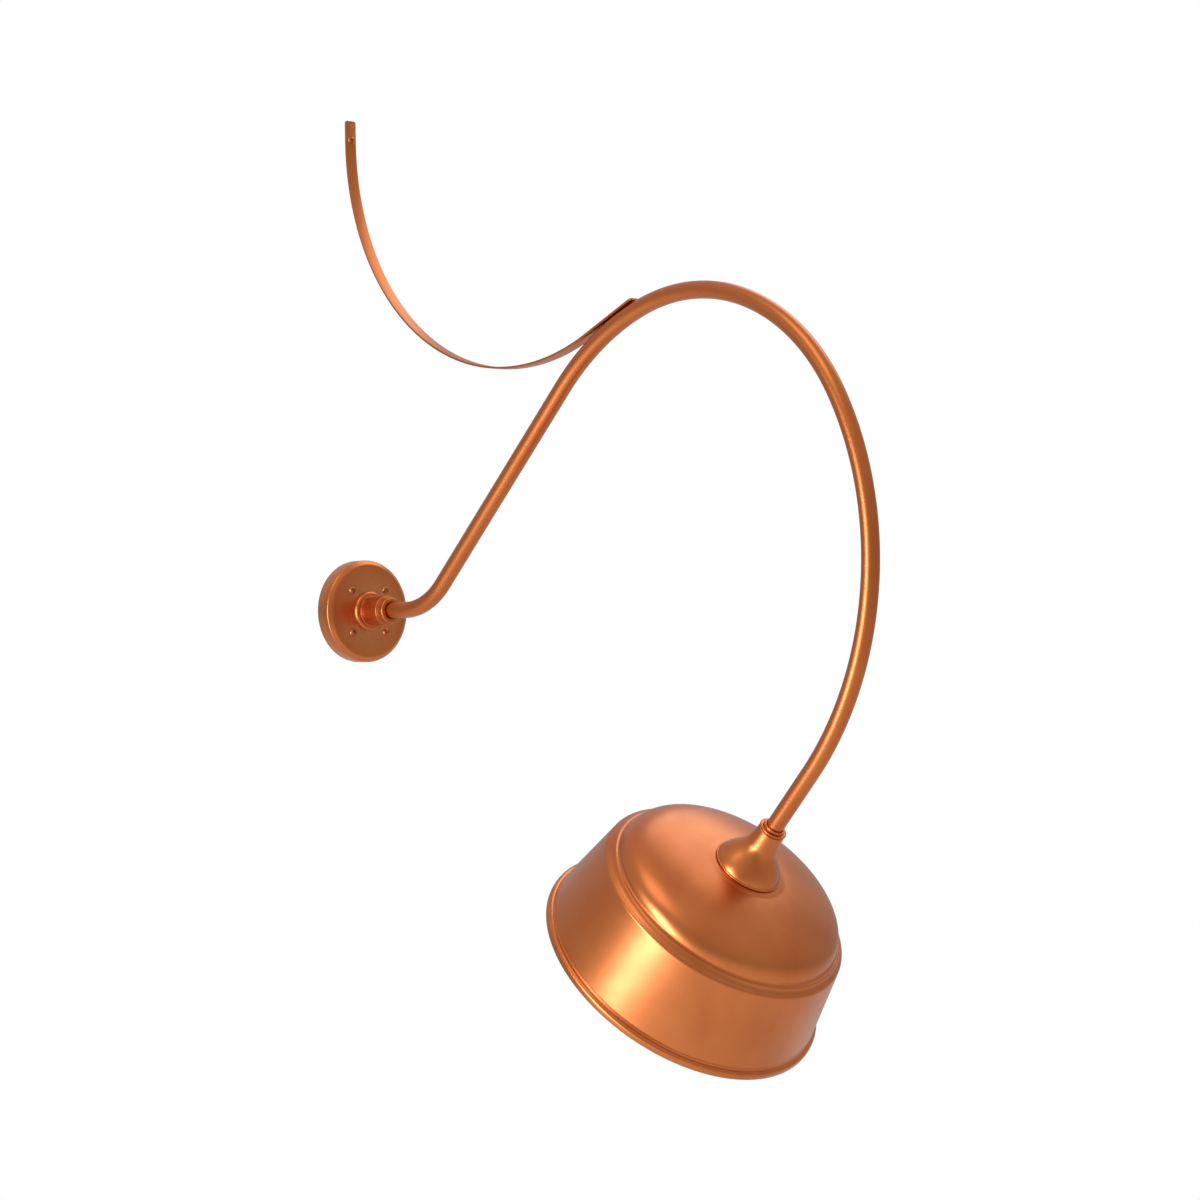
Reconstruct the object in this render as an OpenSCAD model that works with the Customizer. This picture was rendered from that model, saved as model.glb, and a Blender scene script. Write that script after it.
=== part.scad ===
// Gooseneck barn light for a wall.
// A round canopy carries a bent tube arm, a flat strap braces the arm from
// above, and a bell neck at the arm's end holds a spun dome shade with a
// porcelain lampholder and a screw-in bulb.
// X points out of the wall, Z up. The origin is on the wall, at the middle
// of the canopy. Millimetres and degrees.

/* [Canopy] */
// Outer diameter of the canopy
canopy_d = 136; // [126:0.1:150]
// Height of the canopy's face above its gasket
canopy_h = 23; // [20:0.5:30]
// Height of the straight part of the canopy's rim
canopy_rim_h = 18.5; // [12:0.5:20]
// Diameter of the canopy's flat face
canopy_face_d = 124; // [112:0.5:126]
// Sheet thickness of the canopy
canopy_wall = 1.6; // [1.2:0.1:2]
// Thickness of the gasket under the canopy's rim
gasket_t = 1.5; // [1:0.1:2.5]
// Width of the gasket ring
gasket_w = 5; // [3:0.5:6]
// Side of the square on which the four canopy screws sit
screw_square = 56.3; // [52:0.1:60]

/* [Mounting plate] */
// Diameter of the plate behind the canopy
plate_d = 114; // [110:1:118]
// Thickness of the plate
plate_t = 2.5; // [2:0.1:3]
// Distance between the two wall box slots
box_spacing = 88.9; // [84:0.1:92]
// Length of each wall box slot
box_slot_l = 14; // [8:0.5:16]
// Width of each wall box slot
box_slot_w = 4.8; // [4:0.1:6]
// Diameter of the wire hole in the plate
plate_hole_d = 30; // [24:1:34]
// Diameter of the posts that the canopy screws enter
post_d = 9; // [8:0.5:10]

/* [Hub] */
// Diameter of the hub's base ring
hub_base_d = 53.2; // [48:0.1:58]
// Height of the hub's base ring
hub_base_h = 6; // [4:0.5:8]
// Diameter of the hub's body
hub_body_d = 39; // [36:0.1:42]
// Length of the hub's body, base ring included
hub_body_l = 37.5; // [30:0.5:46]
// Diameter of the smaller ring at the hub's tip
hub_step_d = 34.4; // [31:0.1:35.5]
// Length of the smaller ring
hub_step_l = 10; // [6:0.5:14]
// Depth of the open mouth round the arm
hub_mouth_depth = 5; // [2:0.5:8]
// Radial gap between the arm and the hub's mouth
hub_mouth_gap = 0.95; // [0.6:0.05:1.2]
// Diameter of the threaded spigot through the canopy
spigot_d = 30; // [28:0.5:32]
// Distance that the spigot reaches past the canopy's inside face
spigot_l = 7.4; // [7.2:0.1:8.2]
// Width across the flats of the hub's locknut
hub_nut_af = 38; // [35:0.5:40]
// Thickness of the hub's locknut
hub_nut_t = 6; // [4:0.5:7]

/* [Arm] */
// Outer diameter of the arm's tube
tube_d = 21.34; // [20.5:0.02:22]
// Wall of the arm's tube
tube_wall = 1.65; // [1.2:0.05:2.2]
// Distance from the wall to the start of the elbow
wall_run = 101; // [95:0.5:115]
// Radius of the elbow, to the tube's middle
elbow_r = 106; // [95:0.5:120]
// Angle of the elbow
elbow_deg = 45; // [43:0.5:48]
// Length of the straight rise above the elbow
rise_len = 335; // [320:0.5:360]
// Radius of the big bend where it leaves the rise
crest_r = 351; // [330:0.5:370]
// Angle of the big bend where it leaves the rise
crest_deg = 27; // [25:0.25:30]
// Radius of the big bend's tight middle
crown_r = 267.7; // [255:0.1:280]
// Angle of the big bend's tight middle
crown_deg = 78.25; // [74:0.25:82]
// Radius of the big bend's long drop
drop_r = 370; // [350:0.5:390]
// Angle of the big bend's long drop
drop_deg = 72.25; // [69:0.25:75]
// Length of the straight tail down to the neck
tail_len = 84; // [60:0.5:110]
// Length of the arm's end that is screwed into the neck
neck_grip = 28; // [20:0.5:29]

/* [Brace strap] */
// Width of the strap
strap_w = 17; // [15:0.1:22]
// Thickness of the strap
strap_t = 2.6; // [2.2:0.1:4]
// Length of the strap that lies flat on the wall
strap_wall_l = 28; // [26:0.5:60]
// Angle at which the strap meets the arm, above level
strap_rise_deg = 24; // [22:0.5:26]
// Length of the straight part before the strap touches the arm
strap_run_l = 54; // [40:0.5:70]
// Length of the strap past the place where it touches the arm
strap_tip_l = 35; // [24:0.5:50]
// Distance from the strap's top end to its wall screw
strap_hole_z = 25; // [12:0.5:26]
// Distance from the touching place on to the arm screw
strap_hole_u = -4; // [-8:0.5:10]
// Radius of the strap's corners
strap_corner_r = 3; // [1:0.5:6]

/* [Neck] */
// Height of the lock ring above the neck
lock_ring_h = 3.5; // [2.5:0.5:5]
// Diameter of the lock ring
lock_ring_d = 27; // [26:0.5:30]
// Height of the collar at the neck's top
collar_h = 4.5; // [3:0.5:6]
// Diameter of the collar at the neck's top
collar_d = 34; // [33:0.5:37]
// Height of the neck, collar included
neck_h = 62.5; // [60:0.5:70]
// Diameter of the neck just below its collar
waist_d = 32.6; // [31.5:0.1:33]
// Growth of the neck's radius for each millimetre of its height
waist_taper = 0.14; // [0.1:0.01:0.16]
// Distance from the neck's top to the start of its flare
flare_start = 24.5; // [20:0.5:26]
// Diameter of the lip at the neck's foot
lip_d = 84.4; // [84:0.1:86]
// Height of the lip
lip_h = 3; // [2:0.5:4]
// Wall of the neck's bell
neck_wall = 3; // [2.5:0.1:3.5]

/* [Shade] */
// Sheet thickness of the shade
shade_wall = 1.2; // [0.9:0.1:1.5]
// Diameter of the flat seat on top of the shade
seat_d = 86; // [86:0.5:90]
// Diameter of the hole in the shade's top
shade_hole_d = 52; // [48:0.5:54]
// Diameter of the dome's whole curve, which its foot just leaves out
dome_d = 288.4; // [280:0.2:305]
// Height of the dome's whole curve
dome_h = 50; // [46:0.5:60]
// Roundness of the dome, where 2 is an ellipse
dome_k = 2.34; // [2.1:0.01:2.6]
// Radius of the hollow at the dome's foot
foot_r = 3; // [2:0.1:4]
// Radius of the bead beside the hollow
bead_r = 2.6; // [2:0.1:3.4]
// Depth of the soft groove between the bead and the shoulder
groove_depth = 0.5; // [0.2:0.1:0.8]
// Radial step from the dome's foot out to the skirt
shoulder_step = 13.6; // [13:0.1:15]
// Distance from the dome's foot down to the middle of the shoulder's round
shoulder_drop = 15.1; // [14.5:0.1:17]
// Radius of the shoulder's round
shoulder_r = 6; // [5:0.1:7]
// Height of the skirt
skirt_h = 95.5; // [70:0.5:110]
// Growth of the skirt's radius from top to bottom
skirt_flare = 17.2; // [10:0.1:24]
// Radial step from the skirt out to the rim band
rim_step = 5.9; // [4:0.1:7]
// Depth of the groove above the rim band
rim_groove = 0.6; // [0.3:0.1:0.7]
// Height of the rim band
rim_h = 11.5; // [9:0.5:14]
// Radius of the rolled edge
rim_roll_r = 3; // [2.6:0.1:3.4]

/* [Lampholder] */
// Thickness of the gasket between neck and shade
fitter_gasket_t = 1; // [0.6:0.1:2]
// Outer diameter of the backing ring inside the shade
ring_d = 76; // [75:0.5:80]
// Diameter of the hole in the backing ring
ring_hole_d = 28; // [24:0.5:30]
// Thickness of the backing ring
ring_t = 1.5; // [1.2:0.1:2.5]
// Diameter of the circle on which the shade screws sit
shade_screw_pcd = 66; // [65.6:0.1:66.6]
// Diameter of the lampholder's flange
holder_flange_d = 56; // [54:0.5:56.5]
// Thickness of the lampholder's flange
holder_flange_t = 6; // [5:0.5:7]
// Diameter of the lampholder's barrel
holder_d = 40; // [38:0.5:41]
// Length of the lampholder, flange included
holder_l = 43.5; // [43:0.5:46]
// Depth of the socket inside the lampholder
socket_depth = 31; // [30.5:0.1:32]
// Sheet thickness of the screw shell
shell_t = 0.5; // [0.4:0.05:0.7]
// Distance between the lampholder's two screws
holder_screw_gap = 47; // [46.5:0.1:48]

/* [Bulb] */
// Diameter of the bulb's threaded base
bulb_base_d = 26.2; // [25.8:0.1:26.4]
// Length of the bulb's threaded base
bulb_base_l = 20; // [18:0.5:22]
// Diameter of the bulb's glass
bulb_d = 60; // [56:0.5:66]
// Length of the bulb's glass outside its base
bulb_glass_l = 82; // [76:0.5:90]
// Wall of the bulb's glass
bulb_wall = 0.9; // [0.7:0.1:1.2]
// Pitch of the bulb's thread
bulb_pitch = 3.63; // [3.4:0.01:3.8]

/* [Wiring and screws] */
// Diameter of each insulated wire
wire_d = 2.7; // [2.2:0.1:2.9]
// Distance between neighbouring wires in the arm
wire_gap = 3.4; // [3.2:0.1:3.8]
// Length of each wire connector
connector_l = 20; // [16:1:24]
// Diameter of each wire connector's mouth
connector_d = 11.4; // [9:0.2:12]
// Diameter of a round screw head
head_d = 10.5; // [8:0.1:11]
// Height of a round screw head
head_h = 3.4; // [2.6:0.1:4]
// Diameter of the big screws' shank
shank_d = 4.8; // [4.2:0.1:5]

/* [Hidden] */
$fn = 96;

// Finishes
COPPER = [0.72, 0.42, 0.24];
CAST = [0.70, 0.40, 0.21];
STEEL = [0.66, 0.67, 0.68];
BRASS = [0.80, 0.66, 0.34];
PORCELAIN = [0.93, 0.91, 0.86];
SEAL = [0.16, 0.16, 0.16];

// Fits
thread_gap = 0.05;
screw_gap = 0.2;
contact_gap = 0.05;
stem_gap = 0.3;
socket_gap = 0.35;
slot_w = 1.4;
slot_share = 0.45;
join_step = 0.02;
join_lap = 0.5;
joint_swell = 0.1;
small_scale = 0.62;
eps = 0.01;

// Places along X behind and in front of the canopy
face_x = gasket_t + canopy_h;
inside_x = face_x - canopy_wall;
hub_back = inside_x - spigot_l;
hub_step_x = face_x + hub_body_l;
hub_tip_x = hub_step_x + hub_step_l;
screw_off = screw_square / 2;
plate_hole_r = plate_hole_d / 2;
ground_screw_y = box_spacing / 2 - box_slot_l / 2 - 12;

// Tube and arm
tube_r = tube_d / 2;
bore_r = tube_r - tube_wall;
bend_gap = 0.5;
ARM = [
    [0, wall_run - hub_back], [elbow_r, elbow_deg], [0, rise_len], [crest_r, -crest_deg],
    [0, bend_gap], [crown_r, -crown_deg], [0, bend_gap], [drop_r, -drop_deg],
    [0, tail_len + neck_grip]
];
LAST = len(ARM) - 1;

// A path lies in the XZ plane. Each piece is [radius, turn], or [0, length]
// for a straight one, and a pose on it is [x, z, heading].
function path_step(p, s) =
    s[0] == 0
        ? [p[0] + s[1] * cos(p[2]), p[1] + s[1] * sin(p[2]), p[2]]
        : let (t = sign(s[1]), h = p[2] + s[1])
          [p[0] + s[0] * t * (sin(h) - sin(p[2])), p[1] - s[0] * t * (cos(h) - cos(p[2])), h];
function path_pose(path, start, i) =
    i == 0 ? start : path_step(path_pose(path, start, i - 1), path[i - 1]);

ARM_START = [hub_back, 0, 0];
crest_pose = path_pose(ARM, ARM_START, 3);
crest_centre = [crest_pose[0] + crest_r * sin(crest_pose[2]), crest_pose[1] - crest_r * cos(crest_pose[2])];
lamp_pose = path_step(path_pose(ARM, ARM_START, LAST), [0, tail_len]);

// The strap's arc is the one that leaves the wall upright and whose straight
// end lies on the arm where the big bend leaves the rise.
touch_r = crest_r + tube_r + strap_t / 2;
touch = [crest_centre[0] - touch_r * sin(strap_rise_deg), crest_centre[1] + touch_r * cos(strap_rise_deg)];
strap_bend_r = (touch[0] - strap_run_l * cos(strap_rise_deg) - strap_t / 2) / (1 + sin(strap_rise_deg));
strap_bend_z = touch[1] - strap_run_l * sin(strap_rise_deg) + strap_bend_r * cos(strap_rise_deg);
strap_top_z = strap_bend_z + strap_wall_l;
STRAP_START = [strap_t / 2, strap_top_z, -90];
STRAP = [[0, strap_wall_l], [strap_bend_r, 90 + strap_rise_deg], [0, strap_run_l + strap_tip_l]];
touch_pose = [touch[0], touch[1], strap_rise_deg];

// Heights in the lamp's own frame, whose Z runs down the shade's axis from
// the top of the lock ring
neck_z = lock_ring_h;
seat_z = neck_z + neck_h;
shade_z = seat_z + fitter_gasket_t;
ring_z = shade_z + shade_wall;
holder_z = ring_z + ring_t;
socket_floor_z = holder_z + holder_l - socket_depth;
holder_tip_z = holder_z + holder_l;
// The lip hides the gasket's edge and ends just above the shade.
lip_z = neck_h - lip_h + fitter_gasket_t - 0.1;
lip_edge = 1.2;
fitter_gasket_d = lip_d - lip_h - 2 * lip_edge - 0.4;
boss_r = 4.2;
boss_h = 6.5;
shade_screw_r = 2.1;
bond_x = ring_hole_d / 2 + 4.6;
TERMINAL_Y = [-6, 10];
terminal_h = 3;
terminal_r = 1.7;
terminal_lead = holder_l - socket_depth;
holder_screw_r = 1.8;

// The bulb stands with its contact just above the socket's spring contact.
spring_h = 3.3;
button_h = 2;
insulator_h = 6;
bulb_z = socket_floor_z + spring_h + contact_gap;
bulb_base_z = bulb_z + button_h + insulator_h;
bulb_glass_z = bulb_base_z + bulb_base_l;
shell_r = bulb_base_d / 2 + thread_gap;
socket_r = shell_r + shell_t + socket_gap;
bulb_r = bulb_d / 2;
bulb_neck_r = bulb_base_d / 2 + 0.9;

// Turned outlines
function left_normal(a, b) = let (d = (b - a) / norm(b - a)) [-d[1], d[0]];
function inset(p, t) = [
    for (i = [0:len(p) - 1])
        let (
            n0 = left_normal(p[max(i - 1, 0)], p[max(i, 1)]),
            n1 = i == len(p) - 1 ? n0 : left_normal(p[i], p[i + 1])
        )
        p[i] + t * (n0 + n1) / (1 + n0 * n1)
];
function reversed(p) = [for (i = [len(p) - 1:-1:0]) p[i]];
function arc(c, r, a0, a1, n) = [for (i = [0:n]) let (a = a0 + (a1 - a0) * i / n) c + r * [cos(a), sin(a)]];

// A corner is [x, y, radius], and a radius of 0 keeps it sharp.
function corner(p0, p1, p2, r) =
    r == 0
        ? [[p1[0], p1[1]]]
        : let (
              q = [p1[0], p1[1]],
              a = ([p0[0], p0[1]] - q) / norm([p0[0], p0[1]] - q),
              b = ([p2[0], p2[1]] - q) / norm([p2[0], p2[1]] - q),
              half = acos(a * b) / 2,
              c = q + (a + b) / norm(a + b) * r / sin(half),
              s = q + a * r / tan(half) - c,
              e = q + b * r / tan(half) - c,
              a0 = atan2(s[1], s[0]),
              turn = (atan2(e[1], e[0]) - a0 + 540) % 360 - 180
          )
          arc(c, r, a0, a0 + turn, 5);
function rounded(p) = [
    for (i = [0:len(p) - 1])
        each corner(p[(i + len(p) - 1) % len(p)], p[i], p[(i + 1) % len(p)], p[i][2])
];

// Outline of the neck below its collar: a straight taper with a smooth flare
flare_step = (lip_d - waist_d) / 2 - waist_taper * (neck_h - lip_h - collar_h) - 1.6;
function smooth(v) = v <= 0 ? 0 : v >= 1 ? 1 : v * v * (3 - 2 * v);
function neck_r(z) =
    waist_d / 2 + waist_taper * (z - collar_h)
    + flare_step * smooth((z - flare_start) / (neck_h - flare_start));
function neck_line(z0, z1, n) = [for (i = [0:n]) let (z = z0 + (z1 - z0) * i / n) [neck_r(z), z]];

// Outline of the shade from its hole to the foot of its skirt
dome_r = dome_d / 2;
dome_start = 16;
dome_end = 85.4;
function dome_point(t) = [dome_r * pow(sin(t), 2 / dome_k), dome_h * (1 - pow(cos(t), 2 / dome_k))];
DOME = [for (i = [0:22]) dome_point(dome_start + (dome_end - dome_start) * i / 22)];
foot_c = DOME[22] + [foot_r, 0];
FOOT = arc(foot_c, foot_r, 165, 95, 5);
bead_c = FOOT[5] - bead_r * [cos(-95), sin(-95)];
BEAD = arc(bead_c, bead_r, -85, -30, 5);
shoulder_c = DOME[22] + [shoulder_step - shoulder_r, shoulder_drop];
SHOULDER = arc(shoulder_c, shoulder_r, -60, -10, 5);
function hollow(a, b, sag, n) = [
    for (i = [1:n - 1])
        let (t = i / n) a + t * (b - a) + 4 * sag * t * (1 - t) * left_normal(a, b)
];
GROOVE = hollow(BEAD[5], SHOULDER[0], groove_depth, 5);
skirt_z = SHOULDER[5][1];
skirt_r = SHOULDER[5][0] + skirt_flare;
rim_z = skirt_z + skirt_h;
SHADE_LINE = concat(
    [[shade_hole_d / 2, 0], [seat_d / 2, 0]], DOME, FOOT, BEAD, GROOVE, SHOULDER, [[skirt_r, rim_z]]
);
shade_h = rim_z + rim_h + rim_roll_r;
rim_lead = 0.8;
rim_round = rim_step - rim_lead;
RIM_LINE = concat(
    [[skirt_r - rim_groove, rim_z + 1.2]],
    arc([skirt_r + rim_lead, rim_z + 3.6 + rim_round], rim_round, -90, 0, 5),
    arc([skirt_r + rim_step - rim_roll_r, rim_z + rim_h], rim_roll_r, 0, 180, 10)
);
roll_in_r = skirt_r + rim_step - 2 * rim_roll_r;
RIM_INSIDE = [[roll_in_r, rim_z + 6], [skirt_r - shade_wall - 0.4, rim_z + 3.6]];

module canopy_axis() { rotate([0, 90, 0]) children(); }
module lamp_axis() { translate([lamp_pose[0], 0, lamp_pose[1]]) rotate([0, 90 - lamp_pose[2], 0]) children(); }

// Puts children at a pose of a path, with X along the heading and Y to its
// left in the XZ plane
module at_pose(p) { translate([p[0], 0, p[1]]) rotate([90, 0, 0]) rotate([0, 0, p[2]]) children(); }

// A round rod along a path of straights and bends in turn. The straights'
// tapered tips lie inside the bends, so every seam is one clean circle.
module rod(path, start, r, tips = [0, 0]) {
    for (i = [0:len(path) - 1]) at_pose(path_pose(path, start, i)) {
        s = path[i];
        if (s[0] == 0) {
            lap0 = i > 0 ? join_lap : tips[0];
            lap1 = i < len(path) - 1 ? join_lap : tips[1];
            rotate([0, 90, 0]) rotate_extrude() polygon(concat(
                lap0 > 0 ? [[0, -lap0], [r - 2 * join_step, -lap0], [r, 0]] : [[0, 0], [r, 0]],
                lap1 > 0 ? [[r, s[1]], [r - 2 * join_step, s[1] + lap1], [0, s[1] + lap1]] : [[r, s[1]], [0, s[1]]]
            ));
        } else bend(s[0], s[1]) circle(r = r - join_step);
    }
}
// Sweeps a section round one bend that starts at the origin along X
module bend(r, turn) {
    if (turn > 0) translate([0, r, 0]) rotate([0, 0, -90]) rotate_extrude(angle = turn) translate([r, 0]) children();
    else translate([0, -r, 0]) rotate([0, 0, 90 + turn]) rotate_extrude(angle = -turn) translate([r, 0]) children();
}
// A flat bar along a path, with rounded corners at its two ends. Its bends
// are a little slimmer, and the ends of the straights overlap them.
module flat_bar(path, start, t, w, r) {
    for (i = [0:len(path) - 1]) at_pose(path_pose(path, start, i)) {
        s = path[i];
        lap0 = i > 0 ? join_lap : 0;
        lap1 = i < len(path) - 1 ? join_lap : 0;
        r0 = i > 0 ? 0 : r;
        r1 = i < len(path) - 1 ? 0 : r;
        if (s[0] == 0) rotate([90, 0, 0]) linear_extrude(height = t, center = true) polygon(rounded([
            [-lap0, -w / 2, r0], [s[1] + lap1, -w / 2, r1], [s[1] + lap1, w / 2, r1], [-lap0, w / 2, r0]
        ]));
        else bend(s[0], s[1]) square([t - 2 * join_step, w - 2 * join_step], center = true);
    }
}

// Screw with a slotted round head on z > 0 and its shank on z < 0
module slotted_screw(hd, hh, sd, sl, turn) {
    ball_r = (hd * hd / 4 + hh * hh) / (2 * hh);
    difference() {
        union() {
            intersection() {
                translate([0, 0, hh - ball_r]) sphere(r = ball_r);
                cylinder(d = hd + 2, h = hh + 1);
            }
            translate([0, 0, -sl]) cylinder(d = sd, h = sl);
        }
        rotate([0, 0, turn]) translate([-hd, -slot_w * hd / head_d / 2, hh * (1 - slot_share)])
            cube([2 * hd, slot_w * hd / head_d, hh]);
    }
}
module canopy_screw_places() {
    for (y = [-screw_off, screw_off], z = [-screw_off, screw_off])
        translate([0, y, z]) rotate([0, 90, 0]) children();
}
module shade_screw_places() {
    for (a = [60, 180, 300]) rotate([0, 0, a]) translate([shade_screw_pcd / 2, 0, 0]) children();
}
module holder_screw_places() {
    for (s = [-1, 1]) translate([0, s * holder_screw_gap / 2, 0]) children();
}

module mounting_plate() {
    color(STEEL) canopy_axis() difference() {
        cylinder(d = plate_d, h = plate_t);
        translate([0, 0, -eps]) cylinder(d = plate_hole_d, h = plate_t + 2 * eps);
        for (s = [-1, 1]) translate([0, s * box_spacing / 2, -eps]) {
            for (e = [-1, 1]) translate([0, e * (box_slot_l - box_slot_w) / 2, 0])
                cylinder(d = box_slot_w, h = plate_t + 2 * eps);
            translate([-box_slot_w / 2, -(box_slot_l - box_slot_w) / 2, 0])
                cube([box_slot_w, box_slot_l - box_slot_w, plate_t + 2 * eps]);
        }
        translate([0, ground_screw_y, -eps]) cylinder(d = shank_d * small_scale + 2 * thread_gap, h = plate_t + 2 * eps);
    }
}
module standoff_posts() {
    color(STEEL) canopy_screw_places() translate([0, 0, plate_t]) difference() {
        cylinder(d = post_d, h = inside_x - plate_t);
        translate([0, 0, 1]) cylinder(d = shank_d + 2 * thread_gap, h = inside_x);
    }
}
module canopy_gasket() {
    color(SEAL) canopy_axis() difference() {
        cylinder(d = canopy_d - 0.6, h = gasket_t);
        translate([0, 0, -eps]) cylinder(d = canopy_d - 0.6 - 2 * gasket_w, h = gasket_t + 2 * eps);
    }
}
module canopy() {
    outer = [
        [canopy_d / 2, gasket_t], [canopy_d / 2, gasket_t + canopy_rim_h],
        [canopy_face_d / 2, face_x], [spigot_d / 2 + screw_gap, face_x]
    ];
    inner = inset(outer, canopy_wall);
    color(COPPER) difference() {
        canopy_axis() rotate_extrude() polygon(rounded([
            [outer[0][0], outer[0][1], 0], [outer[1][0], outer[1][1], 3], [outer[2][0], outer[2][1], 4],
            [outer[3][0], outer[3][1], 0], [inner[3][0], inner[3][1], 0], [inner[2][0], inner[2][1], 2.4],
            [inner[1][0], inner[1][1], 1.4], [inner[0][0], inner[0][1], 0]
        ]));
        translate([inside_x - 1, 0, 0]) canopy_screw_places() cylinder(d = shank_d + 2 * screw_gap, h = canopy_wall + 2);
    }
}
module canopy_screws() {
    turns = [35, 110, 60, 20];
    color(COPPER) for (i = [0:3])
        translate([face_x, (i % 2 == 0 ? -1 : 1) * screw_off, (i < 2 ? -1 : 1) * screw_off])
            rotate([0, 90, 0]) slotted_screw(head_d, head_h, shank_d, canopy_h - 4, turns[i]);
}
module ground_screw() {
    color([0.15, 0.45, 0.25]) translate([plate_t, ground_screw_y, 0]) rotate([0, 90, 0]) {
        cylinder(d = 9, h = 3, $fn = 6);
        translate([0, 0, -plate_t]) cylinder(d = shank_d * small_scale, h = plate_t);
    }
}
module hub() {
    color(CAST) canopy_axis() rotate_extrude() polygon(rounded([
        [tube_r + thread_gap, hub_back, 0], [spigot_d / 2, hub_back, 0.6], [spigot_d / 2, face_x, 0],
        [hub_base_d / 2, face_x, 0], [hub_base_d / 2, face_x + hub_base_h, hub_base_h * 0.75],
        [hub_body_d / 2, face_x + hub_base_h, 1], [hub_body_d / 2, hub_step_x, 1.4],
        [hub_step_d / 2, hub_step_x, 0.6], [hub_step_d / 2, hub_tip_x, 2],
        [tube_r + hub_mouth_gap, hub_tip_x, 0.5], [tube_r + hub_mouth_gap, hub_tip_x - hub_mouth_depth, 0],
        [tube_r + thread_gap, hub_tip_x - hub_mouth_depth, 0]
    ]));
}
module hub_locknut() {
    color(STEEL) canopy_axis() translate([0, 0, inside_x - hub_nut_t]) difference() {
        cylinder(d = hub_nut_af / cos(30), h = hub_nut_t, $fn = 6);
        translate([0, 0, -eps]) cylinder(d = spigot_d + 2 * thread_gap, h = hub_nut_t + 2 * eps);
    }
}
module gooseneck_arm() {
    color(COPPER) difference() {
        rod(ARM, ARM_START, tube_r);
        rod(ARM, ARM_START, bore_r, [1, 1]);
        at_pose(touch_pose) translate([strap_hole_u, 0, 0]) rotate([90, 0, 0])
            cylinder(d = shank_d * small_scale + 2 * thread_gap, h = tube_r + strap_t);
    }
}
module brace_strap() {
    color(COPPER) difference() {
        flat_bar(STRAP, STRAP_START, strap_t, strap_w, strap_corner_r);
        translate([-eps, 0, strap_top_z - strap_hole_z]) rotate([0, 90, 0])
            cylinder(d = shank_d + 2 * screw_gap, h = strap_t + 2 * eps);
        at_pose(touch_pose) translate([strap_hole_u, strap_t, 0]) rotate([90, 0, 0])
            cylinder(d = shank_d * small_scale + 2 * screw_gap, h = 2 * strap_t);
    }
}
module strap_wall_screw() {
    color(COPPER) translate([strap_t, 0, strap_top_z - strap_hole_z]) rotate([0, 90, 0])
        slotted_screw(head_d, head_h, shank_d, strap_t, 90);
}
module strap_arm_screw() {
    color(COPPER) at_pose(touch_pose) translate([strap_hole_u, strap_t / 2, 0]) rotate([-90, 0, 0])
        slotted_screw(head_d * small_scale, head_h, shank_d * small_scale, strap_t + tube_wall + 2.5, 30);
}
module neck_lock_ring() {
    color(CAST) lamp_axis() rotate_extrude() polygon(rounded([
        [tube_r + thread_gap, 0.8, 0], [tube_r + 0.8, 0, 0.3], [lock_ring_d / 2, 0, 1.2],
        [lock_ring_d / 2, lock_ring_h, 0.5], [tube_r + thread_gap, lock_ring_h, 0]
    ]));
}
module neck_bell() {
    bell_in = inset(neck_line(flare_start + 6, neck_h - lip_h, 9), neck_wall);
    grip_z = neck_grip - lock_ring_h;
    color(CAST) lamp_axis() translate([0, 0, neck_z]) difference() {
        union() {
            rotate_extrude() polygon(concat(
                rounded([[tube_r + thread_gap, 0, 0], [collar_d / 2, 0, 1.4], [collar_d / 2, collar_h, 1.4]]),
                neck_line(collar_h, lip_z, 24),
                arc([lip_d / 2 - lip_h / 2, lip_z + lip_h / 2], lip_h / 2, -90, 90, 8),
                [for (z = [lip_z + lip_h, neck_h]) [lip_d / 2 - lip_h / 2 - lip_edge, z]],
                [[bell_in[9][0], neck_h]],
                reversed(bell_in),
                [[bore_r, grip_z + 2.5], [bore_r, grip_z], [tube_r + thread_gap, grip_z]]
            ));
            shade_screw_places() translate([0, 0, neck_h - boss_h]) cylinder(r = boss_r, h = boss_h);
        }
        shade_screw_places() translate([0, 0, neck_h - boss_h + 1])
            cylinder(r = shade_screw_r + thread_gap, h = boss_h);
    }
}
module fitter_gasket() {
    color(SEAL) lamp_axis() translate([0, 0, seat_z]) difference() {
        cylinder(d = fitter_gasket_d, h = fitter_gasket_t);
        translate([0, 0, -eps]) cylinder(d = shade_hole_d, h = fitter_gasket_t + 2 * eps);
        translate([0, 0, -eps]) shade_screw_places() cylinder(r = shade_screw_r + screw_gap, h = fitter_gasket_t + 2 * eps);
    }
}
module shade() {
    color(COPPER) lamp_axis() translate([0, 0, shade_z]) difference() {
        rotate_extrude($fn = 180) polygon(concat(
            SHADE_LINE, RIM_LINE, RIM_INSIDE, reversed(inset(SHADE_LINE, shade_wall))
        ));
        translate([0, 0, -1]) shade_screw_places() cylinder(r = shade_screw_r + screw_gap, h = shade_wall + 2);
    }
}
module backing_ring() {
    color(STEEL) lamp_axis() translate([0, 0, ring_z]) difference() {
        cylinder(d = ring_d, h = ring_t);
        translate([0, 0, -eps]) {
            cylinder(d = ring_hole_d, h = ring_t + 2 * eps);
            shade_screw_places() cylinder(r = shade_screw_r + screw_gap, h = ring_t + 2 * eps);
            holder_screw_places() cylinder(r = holder_screw_r + thread_gap, h = ring_t + 2 * eps);
            translate([bond_x, 0, 0]) cylinder(r = holder_screw_r + thread_gap, h = ring_t + 2 * eps);
        }
    }
}
module shade_screws() {
    color(STEEL) lamp_axis() translate([0, 0, holder_z]) shade_screw_places()
        slotted_screw(8, 2.4, 2 * shade_screw_r, holder_z - seat_z + boss_h - 2, 25);
}
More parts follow.
